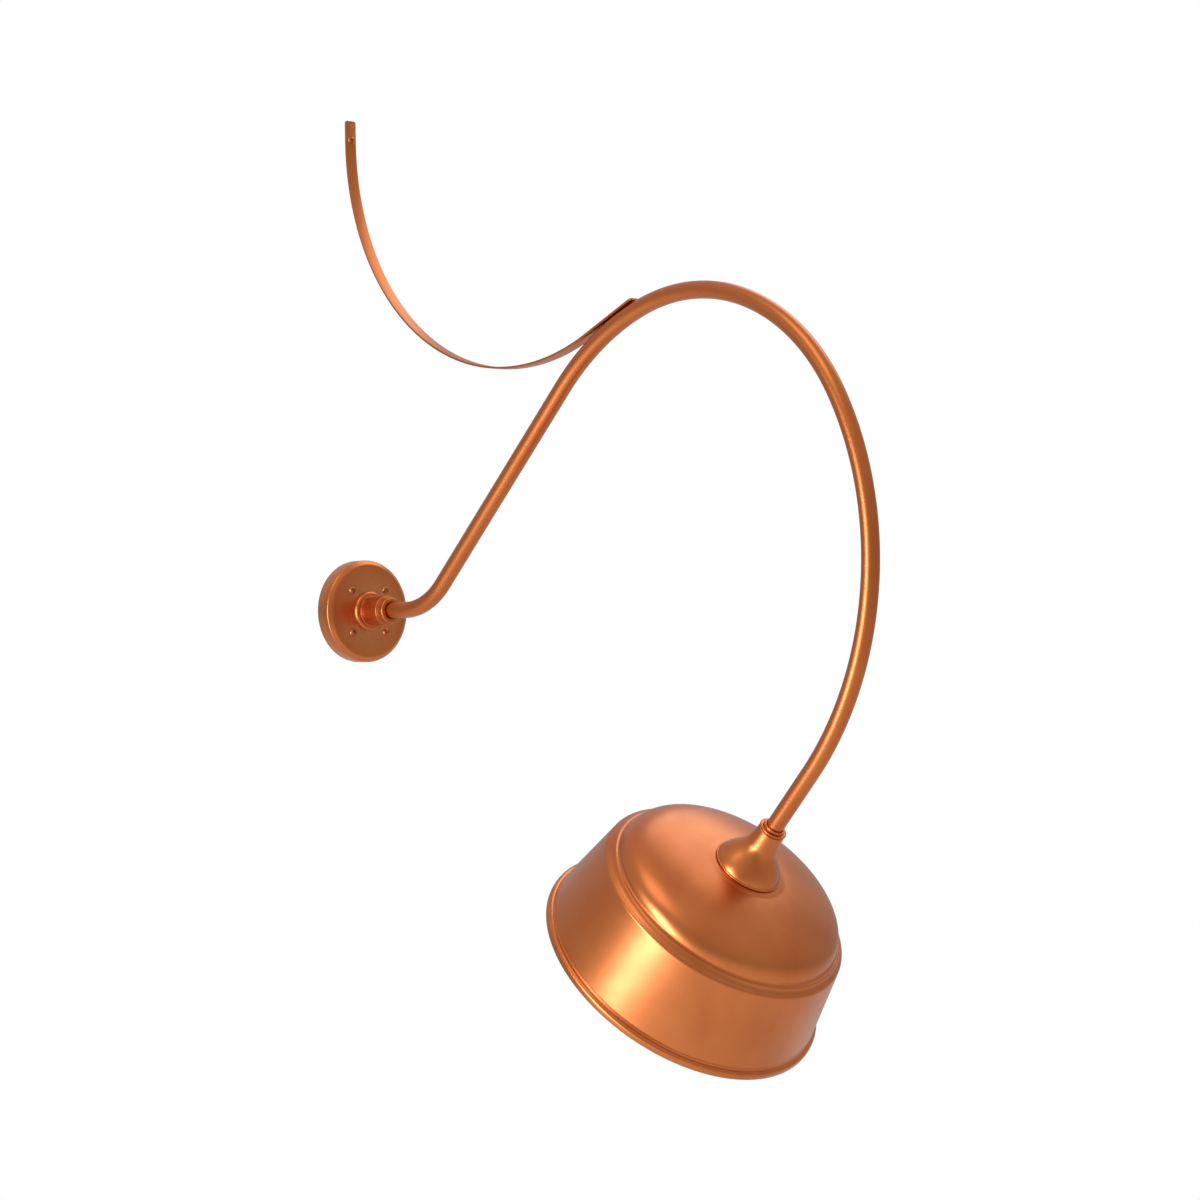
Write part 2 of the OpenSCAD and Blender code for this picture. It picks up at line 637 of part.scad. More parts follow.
module bond_screw() {
    color([0.15, 0.45, 0.25]) lamp_axis() translate([bond_x, 0, ring_z]) {
        translate([0, 0, -2.4]) cylinder(d = 6.4, h = 2.4, $fn = 6);
        cylinder(r = holder_screw_r, h = ring_t);
    }
}
module lampholder() {
    color(PORCELAIN) lamp_axis() translate([0, 0, holder_z]) difference() {
        rotate_extrude() polygon(rounded([
            [0, 0, 0], [holder_flange_d / 2, 0, 0], [holder_flange_d / 2, holder_flange_t, 2.4],
            [holder_d / 2 + 0.8, holder_flange_t, 2.4], [holder_d / 2, holder_l, 2.2], [socket_r, holder_l, 1],
            [socket_r, holder_l - socket_depth, 0], [0, holder_l - socket_depth, 0]
        ]));
        translate([0, 0, -eps]) holder_screw_places() cylinder(r = holder_screw_r + screw_gap, h = holder_flange_t + 1);
        translate([0, 0, holder_flange_t - 2.2]) holder_screw_places() cylinder(r = 3.6, h = 8);
        for (y = TERMINAL_Y) translate([0, y, -eps]) cylinder(r = terminal_r + thread_gap, h = terminal_lead + 1);
    }
}
module lampholder_screws() {
    color(STEEL) lamp_axis() translate([0, 0, holder_z + holder_flange_t - 2.2]) holder_screw_places()
        slotted_screw(6.4, 2, 2 * holder_screw_r, holder_flange_t - 2.2 + ring_t, 65);
}
module terminal_screws() {
    color(BRASS) lamp_axis() for (y = TERMINAL_Y) translate([0, y, holder_z])
        rotate([180, 0, 0]) slotted_screw(7, terminal_h, 2 * terminal_r, terminal_lead, 15 + 6 * y);
}
module screw_shell() {
    color(BRASS) lamp_axis() translate([0, 0, socket_floor_z]) rotate_extrude() polygon(rounded([
        [9, 0, 0], [shell_r + shell_t, 0, 1.2], [shell_r + shell_t, socket_depth - 2, 0],
        [shell_r, socket_depth - 2, 0], [shell_r, shell_t, 0.8], [9, shell_t, 0]
    ]));
}
module centre_contact() {
    color(BRASS) lamp_axis() translate([0, 0, socket_floor_z]) rotate([90, 0, 90]) translate([0, 0, -3])
        linear_extrude(height = 6) polygon([
            [-7.8, 0], [3, 0], [3, 0.6], [-5.6, 0.6], [2.6, spring_h - 0.6], [4.4, spring_h - 0.6],
            [4.4, spring_h], [2.2, spring_h], [-7.8, 0.9]
        ]);
}

// A wire's run in the arm, its turn behind the hub and its ends. dir is the
// angle from upright at which it leaves the hub for its connector.
LINE_DIR = 15;
NEUTRAL_DIR = -15;
GROUND_DIR = 180;
connector_reach = hub_nut_af / 2 / cos(30) + 2;
connector_grip = 8;
turn_r = 5;
run_end_z = neck_grip + 2;
module behind_hub(side, dir) { translate([hub_back, side * wire_gap, 0]) rotate([dir, 0, 0]) children(); }
module wire(side, dir, lamp_end) {
    wire_r = wire_d / 2;
    translate([0, side * wire_gap, 0])
        rod(concat([for (i = [0:LAST - 1]) ARM[i]], [[0, tail_len + run_end_z]]), ARM_START, wire_r, [join_lap, 0]);
    behind_hub(side, dir)
        rod([[turn_r, -90], [0, connector_reach + connector_grip - turn_r]], [0, 0, 180], wire_r);
    lamp_axis() {
        from = [0, side * wire_gap, run_end_z];
        span = lamp_end - from;
        translate(from) sphere(r = wire_r + joint_swell);
        translate(from) rotate([0, acos(span[2] / norm(span)), atan2(span[1], span[0])])
            cylinder(r = wire_r, h = norm(span));
    }
}
module line_wire() {
    color([0.1, 0.1, 0.1]) wire(-1, LINE_DIR, [0, TERMINAL_Y[0], holder_z - terminal_h - wire_d / 2]);
}
module neutral_wire() {
    color([0.92, 0.92, 0.9]) wire(1, NEUTRAL_DIR, [0, TERMINAL_Y[1], holder_z - terminal_h - wire_d / 2]);
}
module ground_wire() {
    color([0.1, 0.5, 0.25]) wire(0, GROUND_DIR, [bond_x, 0, ring_z - 2.4 - wire_d / 2]);
}
module wire_connector(side, dir) {
    behind_hub(side, dir) translate([-turn_r, 0, connector_reach]) difference() {
        rotate_extrude() polygon(rounded([
            [0, 0, 0], [connector_d / 2, 0, 0.8], [connector_d / 2 - 1.6, connector_l, 2.4], [0, connector_l, 0]
        ]));
        translate([0, 0, -eps]) cylinder(d = wire_d + 2 * thread_gap, h = connector_grip + 2 * eps);
    }
}
module wire_connectors() {
    color([0.85, 0.35, 0.12]) {
        wire_connector(-1, LINE_DIR);
        wire_connector(1, NEUTRAL_DIR);
        wire_connector(0, GROUND_DIR);
    }
}

module bulb_contact() {
    color([0.75, 0.75, 0.73]) lamp_axis() translate([0, 0, bulb_z]) rotate_extrude() polygon(rounded([
        [0, 0, 0], [4.6, 0, 1.6], [5, button_h, 0], [0, button_h, 0]
    ]));
}
module bulb_insulator() {
    color([0.08, 0.08, 0.08]) lamp_axis() translate([0, 0, bulb_z + button_h]) rotate_extrude() polygon(rounded([
        [0, 0, 0], [6, 0, 0.5], [bulb_base_d / 2 - 2.6, insulator_h, 0], [0, insulator_h, 0]
    ]));
}
module bulb_base() {
    outer = [
        [bulb_base_d / 2 - 2.6, 0], [bulb_base_d / 2, 2.2], [bulb_base_d / 2, bulb_base_l]
    ];
    color(BRASS) lamp_axis() translate([0, 0, bulb_base_z]) rotate_extrude()
        polygon(concat(outer, reversed(inset(outer, shell_t))));
}
// The glass is a ball on a neck, with round arcs where they meet
ball_z = bulb_glass_l - bulb_r;
fillet_r = 34;
ball_join = acos((bulb_neck_r + fillet_r) / (bulb_r + fillet_r));
fillet_z = ball_z - (bulb_r + fillet_r) * sin(ball_join);
GLASS_LINE = concat(
    [[bulb_neck_r - 1, 0], [bulb_neck_r, 1]],
    arc([bulb_neck_r + fillet_r, fillet_z], fillet_r, 180, 180 - ball_join, 8),
    arc([0, ball_z], bulb_r, -ball_join + 3, 87, 18)
);
module bulb_glass() {
    color([0.95, 0.93, 0.85, 0.4]) lamp_axis() translate([0, 0, bulb_glass_z]) rotate_extrude() polygon(concat(
        GLASS_LINE, [[0, bulb_glass_l], [0, bulb_glass_l - bulb_wall]], reversed(inset(GLASS_LINE, bulb_wall))
    ));
}
// The stem stands on the insulator and tapers from its shoulder to its tip.
stem_h = ball_z - 4;
stem_shoulder = 9;
STEM_R = [4, 2];
function stem_r(z) = STEM_R[0] + (STEM_R[1] - STEM_R[0]) * (z - stem_shoulder) / (stem_h - stem_shoulder);
module bulb_stem() {
    color([0.9, 0.9, 0.88]) lamp_axis() translate([0, 0, bulb_base_z]) rotate_extrude() polygon(rounded([
        [0, 0, 0], [bulb_base_d / 2 - shell_t - 3, 0, 0],
        [bulb_base_d / 2 - shell_t - stem_gap, 3, 1], [bulb_base_d / 2 - shell_t - stem_gap, bulb_base_l - 2, 1],
        [STEM_R[0], bulb_base_l + stem_shoulder, 3], [STEM_R[1], bulb_base_l + stem_h, 1], [0, bulb_base_l + stem_h, 0]
    ]));
}
filament_d = 1.8;
module bulb_filaments() {
    foot = [stem_shoulder, stem_shoulder + 6];
    head = [4, stem_h - 2];
    lean = atan((foot[0] - head[0]) / (head[1] - foot[1]));
    color([0.95, 0.72, 0.25]) lamp_axis() for (a = [45:90:315]) rotate([0, 0, a]) translate([0, 0, bulb_glass_z]) {
        translate([foot[0], 0, foot[1]]) rotate([0, -lean, 0]) cylinder(d = filament_d, h = (head[1] - foot[1]) / cos(lean));
        for (end = [foot, head]) {
            from = stem_r(end[1]) + thread_gap;
            translate([from, -0.3, end[1] - (end == head ? 1 : 0)]) cube([end[0] - from, 0.6, 1]);
        }
    }
}

mounting_plate();
standoff_posts();
canopy_gasket();
canopy();
canopy_screws();
ground_screw();
hub();
hub_locknut();
gooseneck_arm();
brace_strap();
strap_wall_screw();
strap_arm_screw();
neck_lock_ring();
neck_bell();
fitter_gasket();
shade();
backing_ring();
shade_screws();
bond_screw();
lampholder();
lampholder_screws();
terminal_screws();
screw_shell();
centre_contact();
line_wire();
neutral_wire();
ground_wire();
wire_connectors();
bulb_contact();
bulb_insulator();
bulb_base();
bulb_glass();
bulb_stem();
bulb_filaments();
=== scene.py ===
"""Looks of a gooseneck barn light in satin copper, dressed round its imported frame.

X points out of the wall, Y is level along the wall and Z is up. The origin is
on the wall at the middle of the canopy. Sizes are written in millimetres and
turned into metres where a mesh is made.
"""

from __future__ import annotations

import logging
import math
from dataclasses import dataclass
from enum import Enum
from functools import cache
from typing import Callable

import bmesh
import bpy
from bpy.types import Material, Mesh, Node, NodeSocket, NodeTree, Object
from mathutils import Euler, Matrix, Vector

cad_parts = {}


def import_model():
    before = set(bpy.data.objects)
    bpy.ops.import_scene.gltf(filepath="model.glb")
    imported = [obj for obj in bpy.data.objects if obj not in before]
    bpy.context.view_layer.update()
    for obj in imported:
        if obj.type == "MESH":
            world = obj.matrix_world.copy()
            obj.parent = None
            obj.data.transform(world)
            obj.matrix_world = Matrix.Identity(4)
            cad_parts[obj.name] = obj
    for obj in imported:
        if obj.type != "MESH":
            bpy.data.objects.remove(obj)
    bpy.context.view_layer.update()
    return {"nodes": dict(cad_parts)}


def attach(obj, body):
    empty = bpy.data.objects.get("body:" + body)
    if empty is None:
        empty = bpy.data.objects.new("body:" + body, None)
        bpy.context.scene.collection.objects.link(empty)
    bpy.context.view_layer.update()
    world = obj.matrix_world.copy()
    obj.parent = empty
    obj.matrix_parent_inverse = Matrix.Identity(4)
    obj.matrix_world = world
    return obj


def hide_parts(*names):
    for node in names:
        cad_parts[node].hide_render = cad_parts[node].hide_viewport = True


LOG = logging.getLogger("barn_light")
MM = 0.001
TURN = 2 * math.pi
SHARP_DEG = 28.0
STRAIGHT_STEP = 24.0
SHADE_SCREWS_DEG = (60, 180, 300)
THREAD_GAP = 0.05

Point = tuple[float, float]
Colour = tuple[float, float, float]


class Body(Enum):
    """The bodies of the lamp that carry new pieces."""

    LAMP = "wall_lamp"
    BULB = "bulb"


class Grain(Enum):
    """The way in which a metal's fine lines run."""

    TURNED = "round the axis"
    DRAWN = "along the bar"
    CAST = "no lines"


@dataclass(frozen=True)
class Place:
    """A turning axis in the lamp, with its own Z along the axis.

    Attributes:
        origin: Where the axis starts, in millimetres.
        tilt: Angle about Y that turns up into the axis, in degrees.
    """

    origin: tuple[float, float, float]
    tilt: float

    def matrix(self) -> Matrix:
        """The placement in metres."""
        here = Vector(self.origin) * MM
        return Matrix.Translation(here) @ Euler((0, math.radians(self.tilt), 0)).to_matrix().to_4x4()

    def spot(self, x: float, y: float, z: float) -> Vector:
        """A point of this place in the lamp's frame, in metres."""
        return self.matrix() @ (Vector((x, y, z)) * MM)

    def moved(self, x: float, y: float, z: float) -> Place:
        """The same direction from another point of this place."""
        return Place(tuple(self.spot(x, y, z) / MM), self.tilt)

    def axis(self) -> Vector:
        """Unit vector along the turning axis."""
        return self.matrix().to_3x3() @ Vector((0, 0, 1))


@dataclass(frozen=True)
class Pose:
    """A point of a bent bar in the middle plane, with its heading in degrees."""

    x: float
    z: float
    heading: float

    def direction(self) -> Vector:
        """Unit vector along the bar."""
        angle = math.radians(self.heading)
        return Vector((math.cos(angle), 0, math.sin(angle)))

    def left(self) -> Vector:
        """Unit vector across the bar, to the left of its heading."""
        along = self.direction()
        return Vector((-along.z, 0, along.x))

    def point(self) -> Vector:
        """The place in millimetres."""
        return Vector((self.x, 0, self.z))


@dataclass(frozen=True)
class Run:
    """A straight or an arc of a bent bar.

    Attributes:
        length: Length of a straight, in millimetres.
        radius: Radius of an arc, or 0 for a straight.
        turn: Angle of an arc in degrees, positive to the left.
    """

    length: float = 0.0
    radius: float = 0.0
    turn: float = 0.0

    def span(self) -> float:
        """Length along the middle, in millimetres."""
        if self.radius:
            return self.radius * math.radians(abs(self.turn))
        return self.length

    def along(self, start: Pose, share: float) -> Pose:
        """Pose at a share of this run.

        Args:
            start: Pose at the run's start.
            share: From 0 at the start to 1 at the end.

        Returns:
            The pose there.
        """
        if not self.radius:
            moved = start.point() + start.direction() * self.length * share
            return Pose(moved.x, moved.z, start.heading)
        side = 1 if self.turn > 0 else -1
        end = Pose(0, 0, start.heading + self.turn * share)
        moved = start.point() + (start.left() - end.left()) * self.radius * side
        return Pose(moved.x, moved.z, end.heading)


def trace(start: Pose, runs: list[Run], spacing: float) -> list[Pose]:
    """Poses along a bent bar.

    Args:
        start: Pose at the bar's start.
        runs: The bar's straights and arcs.
        spacing: Largest distance between poses on an arc, in millimetres.

    Returns:
        The poses from start to end.
    """
    poses = [start]
    for run in runs:
        count = math.ceil(run.span() / spacing) if run.radius else max(1, round(run.span() / STRAIGHT_STEP))
        first = poses[-1]
        poses.extend(run.along(first, step / count) for step in range(1, count + 1))
    return poses


def arc(centre: Point, radius: float, start: float, end: float, steps: int) -> list[Point]:
    """Points of an arc, angles in degrees."""
    angles = [math.radians(start + (end - start) * step / steps) for step in range(steps + 1)]
    return [(centre[0] + radius * math.cos(angle), centre[1] + radius * math.sin(angle)) for angle in angles]


def rounded(corners: list[tuple[float, float, float]], steps: int = 6) -> list[Point]:
    """A closed outline with round corners.

    Args:
        corners: Corners as x, y and radius, where 0 keeps a corner sharp.
        steps: Steps of each round.

    Returns:
        The outline's points.
    """
    points: list[Point] = []
    for index, (x, y, radius) in enumerate(corners):
        here = Vector((x, y))
        if radius <= 0:
            points.append((x, y))
            continue
        before = (Vector(corners[index - 1][:2]) - here).normalized()
        after = (Vector(corners[(index + 1) % len(corners)][:2]) - here).normalized()
        half = math.acos(max(-1, min(1, before.dot(after)))) / 2
        centre = here + (before + after).normalized() * (radius / math.sin(half))
        start = here + before * (radius / math.tan(half)) - centre
        end = here + after * (radius / math.tan(half)) - centre
        angle = math.degrees(math.atan2(start.y, start.x))
        swing = (math.degrees(math.atan2(end.y, end.x)) - angle + 540) % 360 - 180
        points.extend(arc((centre.x, centre.y), radius, angle, angle + swing, steps))
    return points


def round_places(pitch_d: float) -> list[Point]:
    """Middles of the shade's screws on their pitch circle."""
    turns = [math.radians(angle) for angle in SHADE_SCREWS_DEG]
    return [(math.cos(turn) * pitch_d / 2, math.sin(turn) * pitch_d / 2) for turn in turns]


def heights(start: float, end: float) -> list[float]:
    """Heights in even steps from start, with a last one at the end."""
    step = 0.25
    least = 0.1
    return [*(start + step * index for index in range(math.ceil((end - start - least) / step))), end]


def inset(line: list[Point], depth: float) -> list[Point]:
    """The line moved to its left by a depth."""
    moved = []
    for index, here in enumerate(line):
        before = Vector(line[max(index - 1, 0)])
        after = Vector(line[min(index + 1, len(line) - 1)])
        first = (Vector(here) - before) if index else (after - Vector(here))
        second = (after - Vector(here)) if index < len(line) - 1 else first
        one = Vector((-first.y, first.x)).normalized()
        two = Vector((-second.y, second.x)).normalized()
        shift = (one + two) * (depth / (1 + one.dot(two)))
        moved.append((here[0] + shift.x, here[1] + shift.y))
    return moved


def smooth(mesh: Mesh) -> None:
    """Shades a mesh smooth, except at its sharp edges."""
    mesh.shade_smooth()
    mesh.set_sharp_from_angle(angle=math.radians(SHARP_DEG))


def finish_mesh(name: str, mesh_data: bmesh.types.BMesh) -> Object:
    """Turns mesh data into a smooth object of the scene.

    Args:
        name: Name of the piece.
        mesh_data: The mesh under construction, which is freed.

    Returns:
        The new object.
    """
    bmesh.ops.recalc_face_normals(mesh_data, faces=mesh_data.faces)
    mesh = bpy.data.meshes.new(name)
    mesh_data.to_mesh(mesh)
    mesh_data.free()
    smooth(mesh)
    piece = bpy.data.objects.new(name, mesh)
    bpy.context.scene.collection.objects.link(piece)
    return piece


def turned(name: str, outline: list[Point], place: Place, steps: int = 160,
           closed: bool = True, swell: Callable[[float, float], float] | None = None) -> Object:
    """A piece turned about an axis.

    Args:
        name: Name of the piece.
        outline: Radius and height of each point, in millimetres.
        place: The turning axis.
        steps: Steps round the axis.
        closed: Whether the outline's end joins its start.
        swell: Growth of the radius by angle in radians and height, if the piece isn't quite round.

    Returns:
        The new object, whose own Z is the axis.
    """
    data = bmesh.new()
    rings = []
    for radius, height in outline:
        if radius < 1e-6:
            rings.append([data.verts.new((0, 0, height * MM))])
            continue
        ring = []
        for step in range(steps):
            angle = TURN * step / steps
            wide = radius + (swell(angle, height) if swell else 0)
            spot = Vector((wide * math.cos(angle), wide * math.sin(angle), height))
            ring.append(data.verts.new(spot * MM))
        rings.append(ring)
    pairs = list(zip(rings, rings[1:]))
    if closed:
        pairs.append((rings[-1], rings[0]))
    for low, high in pairs:
        for step in range(steps):
            ahead = (step + 1) % steps
            if len(low) == 1 and len(high) == 1:
                break
            if len(low) == 1:
                data.faces.new((low[0], high[step], high[ahead]))
            elif len(high) == 1:
                data.faces.new((low[step], high[0], low[ahead]))
            else:
                data.faces.new((low[step], low[ahead], high[ahead], high[step]))
    piece = finish_mesh(name, data)
    piece.matrix_world = place.matrix()
    return piece


def swept(name: str, poses: list[Pose], section: list[Point], hollow: list[Point] | None = None,
          share: Callable[[float, float], float] | None = None) -> Object:
    """A bar of one section along a bent path.

    Args:
        name: Name of the piece.
        poses: The path.
        section: The bar's outline, as its distance to the left and along Y, in millimetres.
        hollow: Outline of the bore with as many points, if it is a tube.
        share: Share of the width along Y, by the distance from the start and the whole length.

    Returns:
        The new object, with a UV map named run that follows the bar's length.
    """
    data = bmesh.new()
    count = len(section)
    run_map = data.loops.layers.uv.new(RUN_MAP)
    lengths = [0.0]
    for before, after in zip(poses, poses[1:]):
        lengths.append(lengths[-1] + (after.point() - before.point()).length)
    skins = []
    for outline in (section, hollow):
        if outline is None:
            continue
        rings = []
        for pose, length in zip(poses, lengths):
            ring = []
            wide = share(length, lengths[-1]) if share else 1.0
            for left, across in outline:
                spot = pose.point() + pose.left() * left + Vector((0, across * wide, 0))
                ring.append(data.verts.new(spot * MM))
            rings.append(ring)
        skins.append(rings)
        for index in range(len(rings) - 1):
            for step in range(count):
                ahead = (step + 1) % count
                corners = (rings[index][step], rings[index][ahead], rings[index + 1][ahead],
                           rings[index + 1][step])
                face = data.faces.new(corners)
                spots = ((lengths[index], step), (lengths[index], step + 1),
                         (lengths[index + 1], step + 1), (lengths[index + 1], step))
                for loop, (length, turn) in zip(face.loops, spots):
                    loop[run_map].uv = (length * MM, turn / count)
    for end in (0, -1):
        if hollow is None:
            data.faces.new(skins[0][end])
            continue
        for step in range(count):
            ahead = (step + 1) % count
            data.faces.new((skins[0][end][step], skins[0][end][ahead],
                            skins[1][end][ahead], skins[1][end][step]))
    return finish_mesh(name, data)


def circle(radius: float, count: int) -> list[Point]:
    """Points of a circle round the origin."""
    return [(radius * math.cos(TURN * step / count), radius * math.sin(TURN * step / count))
            for step in range(count)]


def rod_mesh(radius: float, centre: Vector, direction: Vector, length: float,
             sides: int = 40) -> bmesh.types.BMesh:
    """Mesh data of a round rod.

    Args:
        radius: Radius in millimetres.
        centre: Middle of the rod in metres.
        direction: Direction of its axis.
        length: Length in millimetres.
        sides: Sides of the round.

    Returns:
        The mesh data.
    """
    data = bmesh.new()
    matrix = Matrix.Translation(centre) @ direction.to_track_quat("Z", "Y").to_matrix().to_4x4()
    bmesh.ops.create_cone(data, cap_ends=True, segments=sides, radius1=radius * MM, radius2=radius * MM,
                          depth=length * MM, matrix=matrix)
    return data


def cut(piece: Object, cutters: list[Object]) -> None:
    """Cuts holes into a piece and removes the cutters."""
    for cutter in cutters:
        change = piece.modifiers.new("cut", "BOOLEAN")
        change.operation = "DIFFERENCE"
        change.solver = "EXACT"
        change.object = cutter
    bpy.context.view_layer.update()
    graph = bpy.context.evaluated_depsgraph_get()
    mesh = bpy.data.meshes.new_from_object(piece.evaluated_get(graph))
    old = piece.data
    piece.modifiers.clear()
    piece.data = mesh
    bpy.data.meshes.remove(old)
    mesh.name = piece.name
    smooth(mesh)
    for cutter in cutters:
        solid = cutter.data
        bpy.data.objects.remove(cutter)
        bpy.data.meshes.remove(solid)


def bore(piece: Object, radius: float, spots: list[Vector], direction: Vector, length: float) -> None:
    """Cuts equal round holes into a piece.

    Args:
        piece: The piece to cut.
        radius: Radius of each hole in millimetres.
        spots: Middle of each hole in metres, in the lamp's frame.
        direction: Direction of the holes.
        length: Length of each hole in millimetres.
    """
    cutters = []
    for spot in spots:
        cutters.append(finish_mesh("cutter", rod_mesh(radius, spot, direction, length)))
    cut(piece, cutters)


def join(pieces: list[Object], name: str) -> Object:
    """Joins pieces that are one part into the first of them."""
    first = pieces[0]
    data = bmesh.new()
    data.from_mesh(first.data)
    inverse = first.matrix_world.inverted()
    for piece in pieces[1:]:
        extra = piece.data.copy()
        extra.transform(inverse @ piece.matrix_world)
        data.from_mesh(extra)
        bpy.data.meshes.remove(extra)
        bpy.data.objects.remove(piece)
    data.to_mesh(first.data)
    data.free()
    first.name = name
    return first


def wear_piece(piece: Object, finish: Finish, node: str, body: Body = Body.LAMP) -> None:
    """Gives a new piece its finish, body and slot, and hides what it replaces.

    Args:
        piece: The new piece.
        finish: Its finish.
        node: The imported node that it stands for.
        body: The body it rides on.
    """
    piece.data.materials.clear()
    piece.data.materials.append(finish.paint())
    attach(piece, body.value)
    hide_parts(node)
    LOG.info("%s: %d faces for %s", piece.name, len(piece.data.polygons), node)


def dress(nodes: dict[str, Object], finishes: dict[str, Finish]) -> None:
    """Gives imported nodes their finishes.

    Args:
        nodes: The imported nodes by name.
        finishes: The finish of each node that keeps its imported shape.
    """
    for name, finish in finishes.items():
        node = nodes[name]
        if node.material_slots:
            for slot in node.material_slots:
                slot.material = finish.paint()
        else:
            node.data.materials.append(finish.paint())
        LOG.info("%s: keeps its packed shape", name)


class Graph:
    """A node tree under construction."""

    def __init__(self, tree: NodeTree) -> None:
        """Starts on a tree."""
        self.tree = tree

    def add(self, kind: str, sockets: dict | None = None, **settings: object) -> Node:
        """Adds a node.

        Args:
            kind: Type of the node, without its ShaderNode prefix.
            sockets: Values or links for its inputs, by name or number.
            settings: The node's own settings.

        Returns:
            The node.
        """
        node = self.tree.nodes.new("ShaderNode" + kind)
        for key, value in settings.items():
            setattr(node, key, value)
        self.fill(node, sockets or {})
        return node

    def link(self, source: NodeSocket, sink: NodeSocket) -> None:
        """Links two sockets."""
        self.tree.links.new(source, sink)

    def put(self, socket: NodeSocket, value: object) -> None:
        """Links a socket to a value that is a socket, or else sets it."""
        if isinstance(value, NodeSocket):
            self.link(value, socket)
        elif isinstance(value, tuple) and socket.type == "RGBA":
            socket.default_value = (*value, 1.0)
        else:
            socket.default_value = value

    def fill(self, node: Node, sockets: dict) -> None:
        """Puts values or links into a node's inputs, by name or number."""
        for key, value in sockets.items():
            self.put(node.inputs[key], value)

    def math(self, operation: str, *values: object) -> NodeSocket:
        """Result of a maths node."""
        return self.add("Math", dict(enumerate(values)), operation=operation).outputs[0]

    def group(self, tree: NodeTree, sockets: dict) -> Node:
        """Places a node group with its own values."""
        return self.add("Group", sockets, node_tree=tree)

    def parts(self, vector: NodeSocket) -> list[NodeSocket]:
        """The three numbers of a vector."""
        return self.add("SeparateXYZ", {0: vector}).outputs[:3]

    def noise(self, vector: NodeSocket, scale: object, detail: float, **more: float) -> NodeSocket:
        """A noise value, with further inputs by name."""
        return self.add("TexNoise", {"Vector": vector, "Scale": scale, "Detail": detail, **more}).outputs[0]

    def where(self) -> NodeSocket:
        """A place on the piece, in its own frame."""
        return self.add("TexCoord").outputs["Object"]

    def relief(self, height: NodeSocket, depth: float, strength: float = 1.0) -> NodeSocket:
        """Bumps of a depth in metres."""
        return self.add("Bump", {"Height": height, "Distance": depth, "Strength": strength}).outputs[0]

    def mix(self, share: object, low: object, high: object) -> NodeSocket:
        """A colour between two."""
        node = self.add("Mix", {"Factor": share}, data_type="RGBA")
        colours = [socket for socket in node.inputs if socket.type == "RGBA"]
        for socket, value in zip(colours, (low, high)):
            self.put(socket, value)
        return [socket for socket in node.outputs if socket.type == "RGBA"][0]

    def range(self, value: object, low: object, high: object, out_low: object, out_high: float) -> NodeSocket:
        """A value mapped from one range to another."""
        sockets = {0: value, 1: low, 2: high, 3: out_low, 4: out_high}
        return self.add("MapRange", sockets, clamp=True).outputs[0]


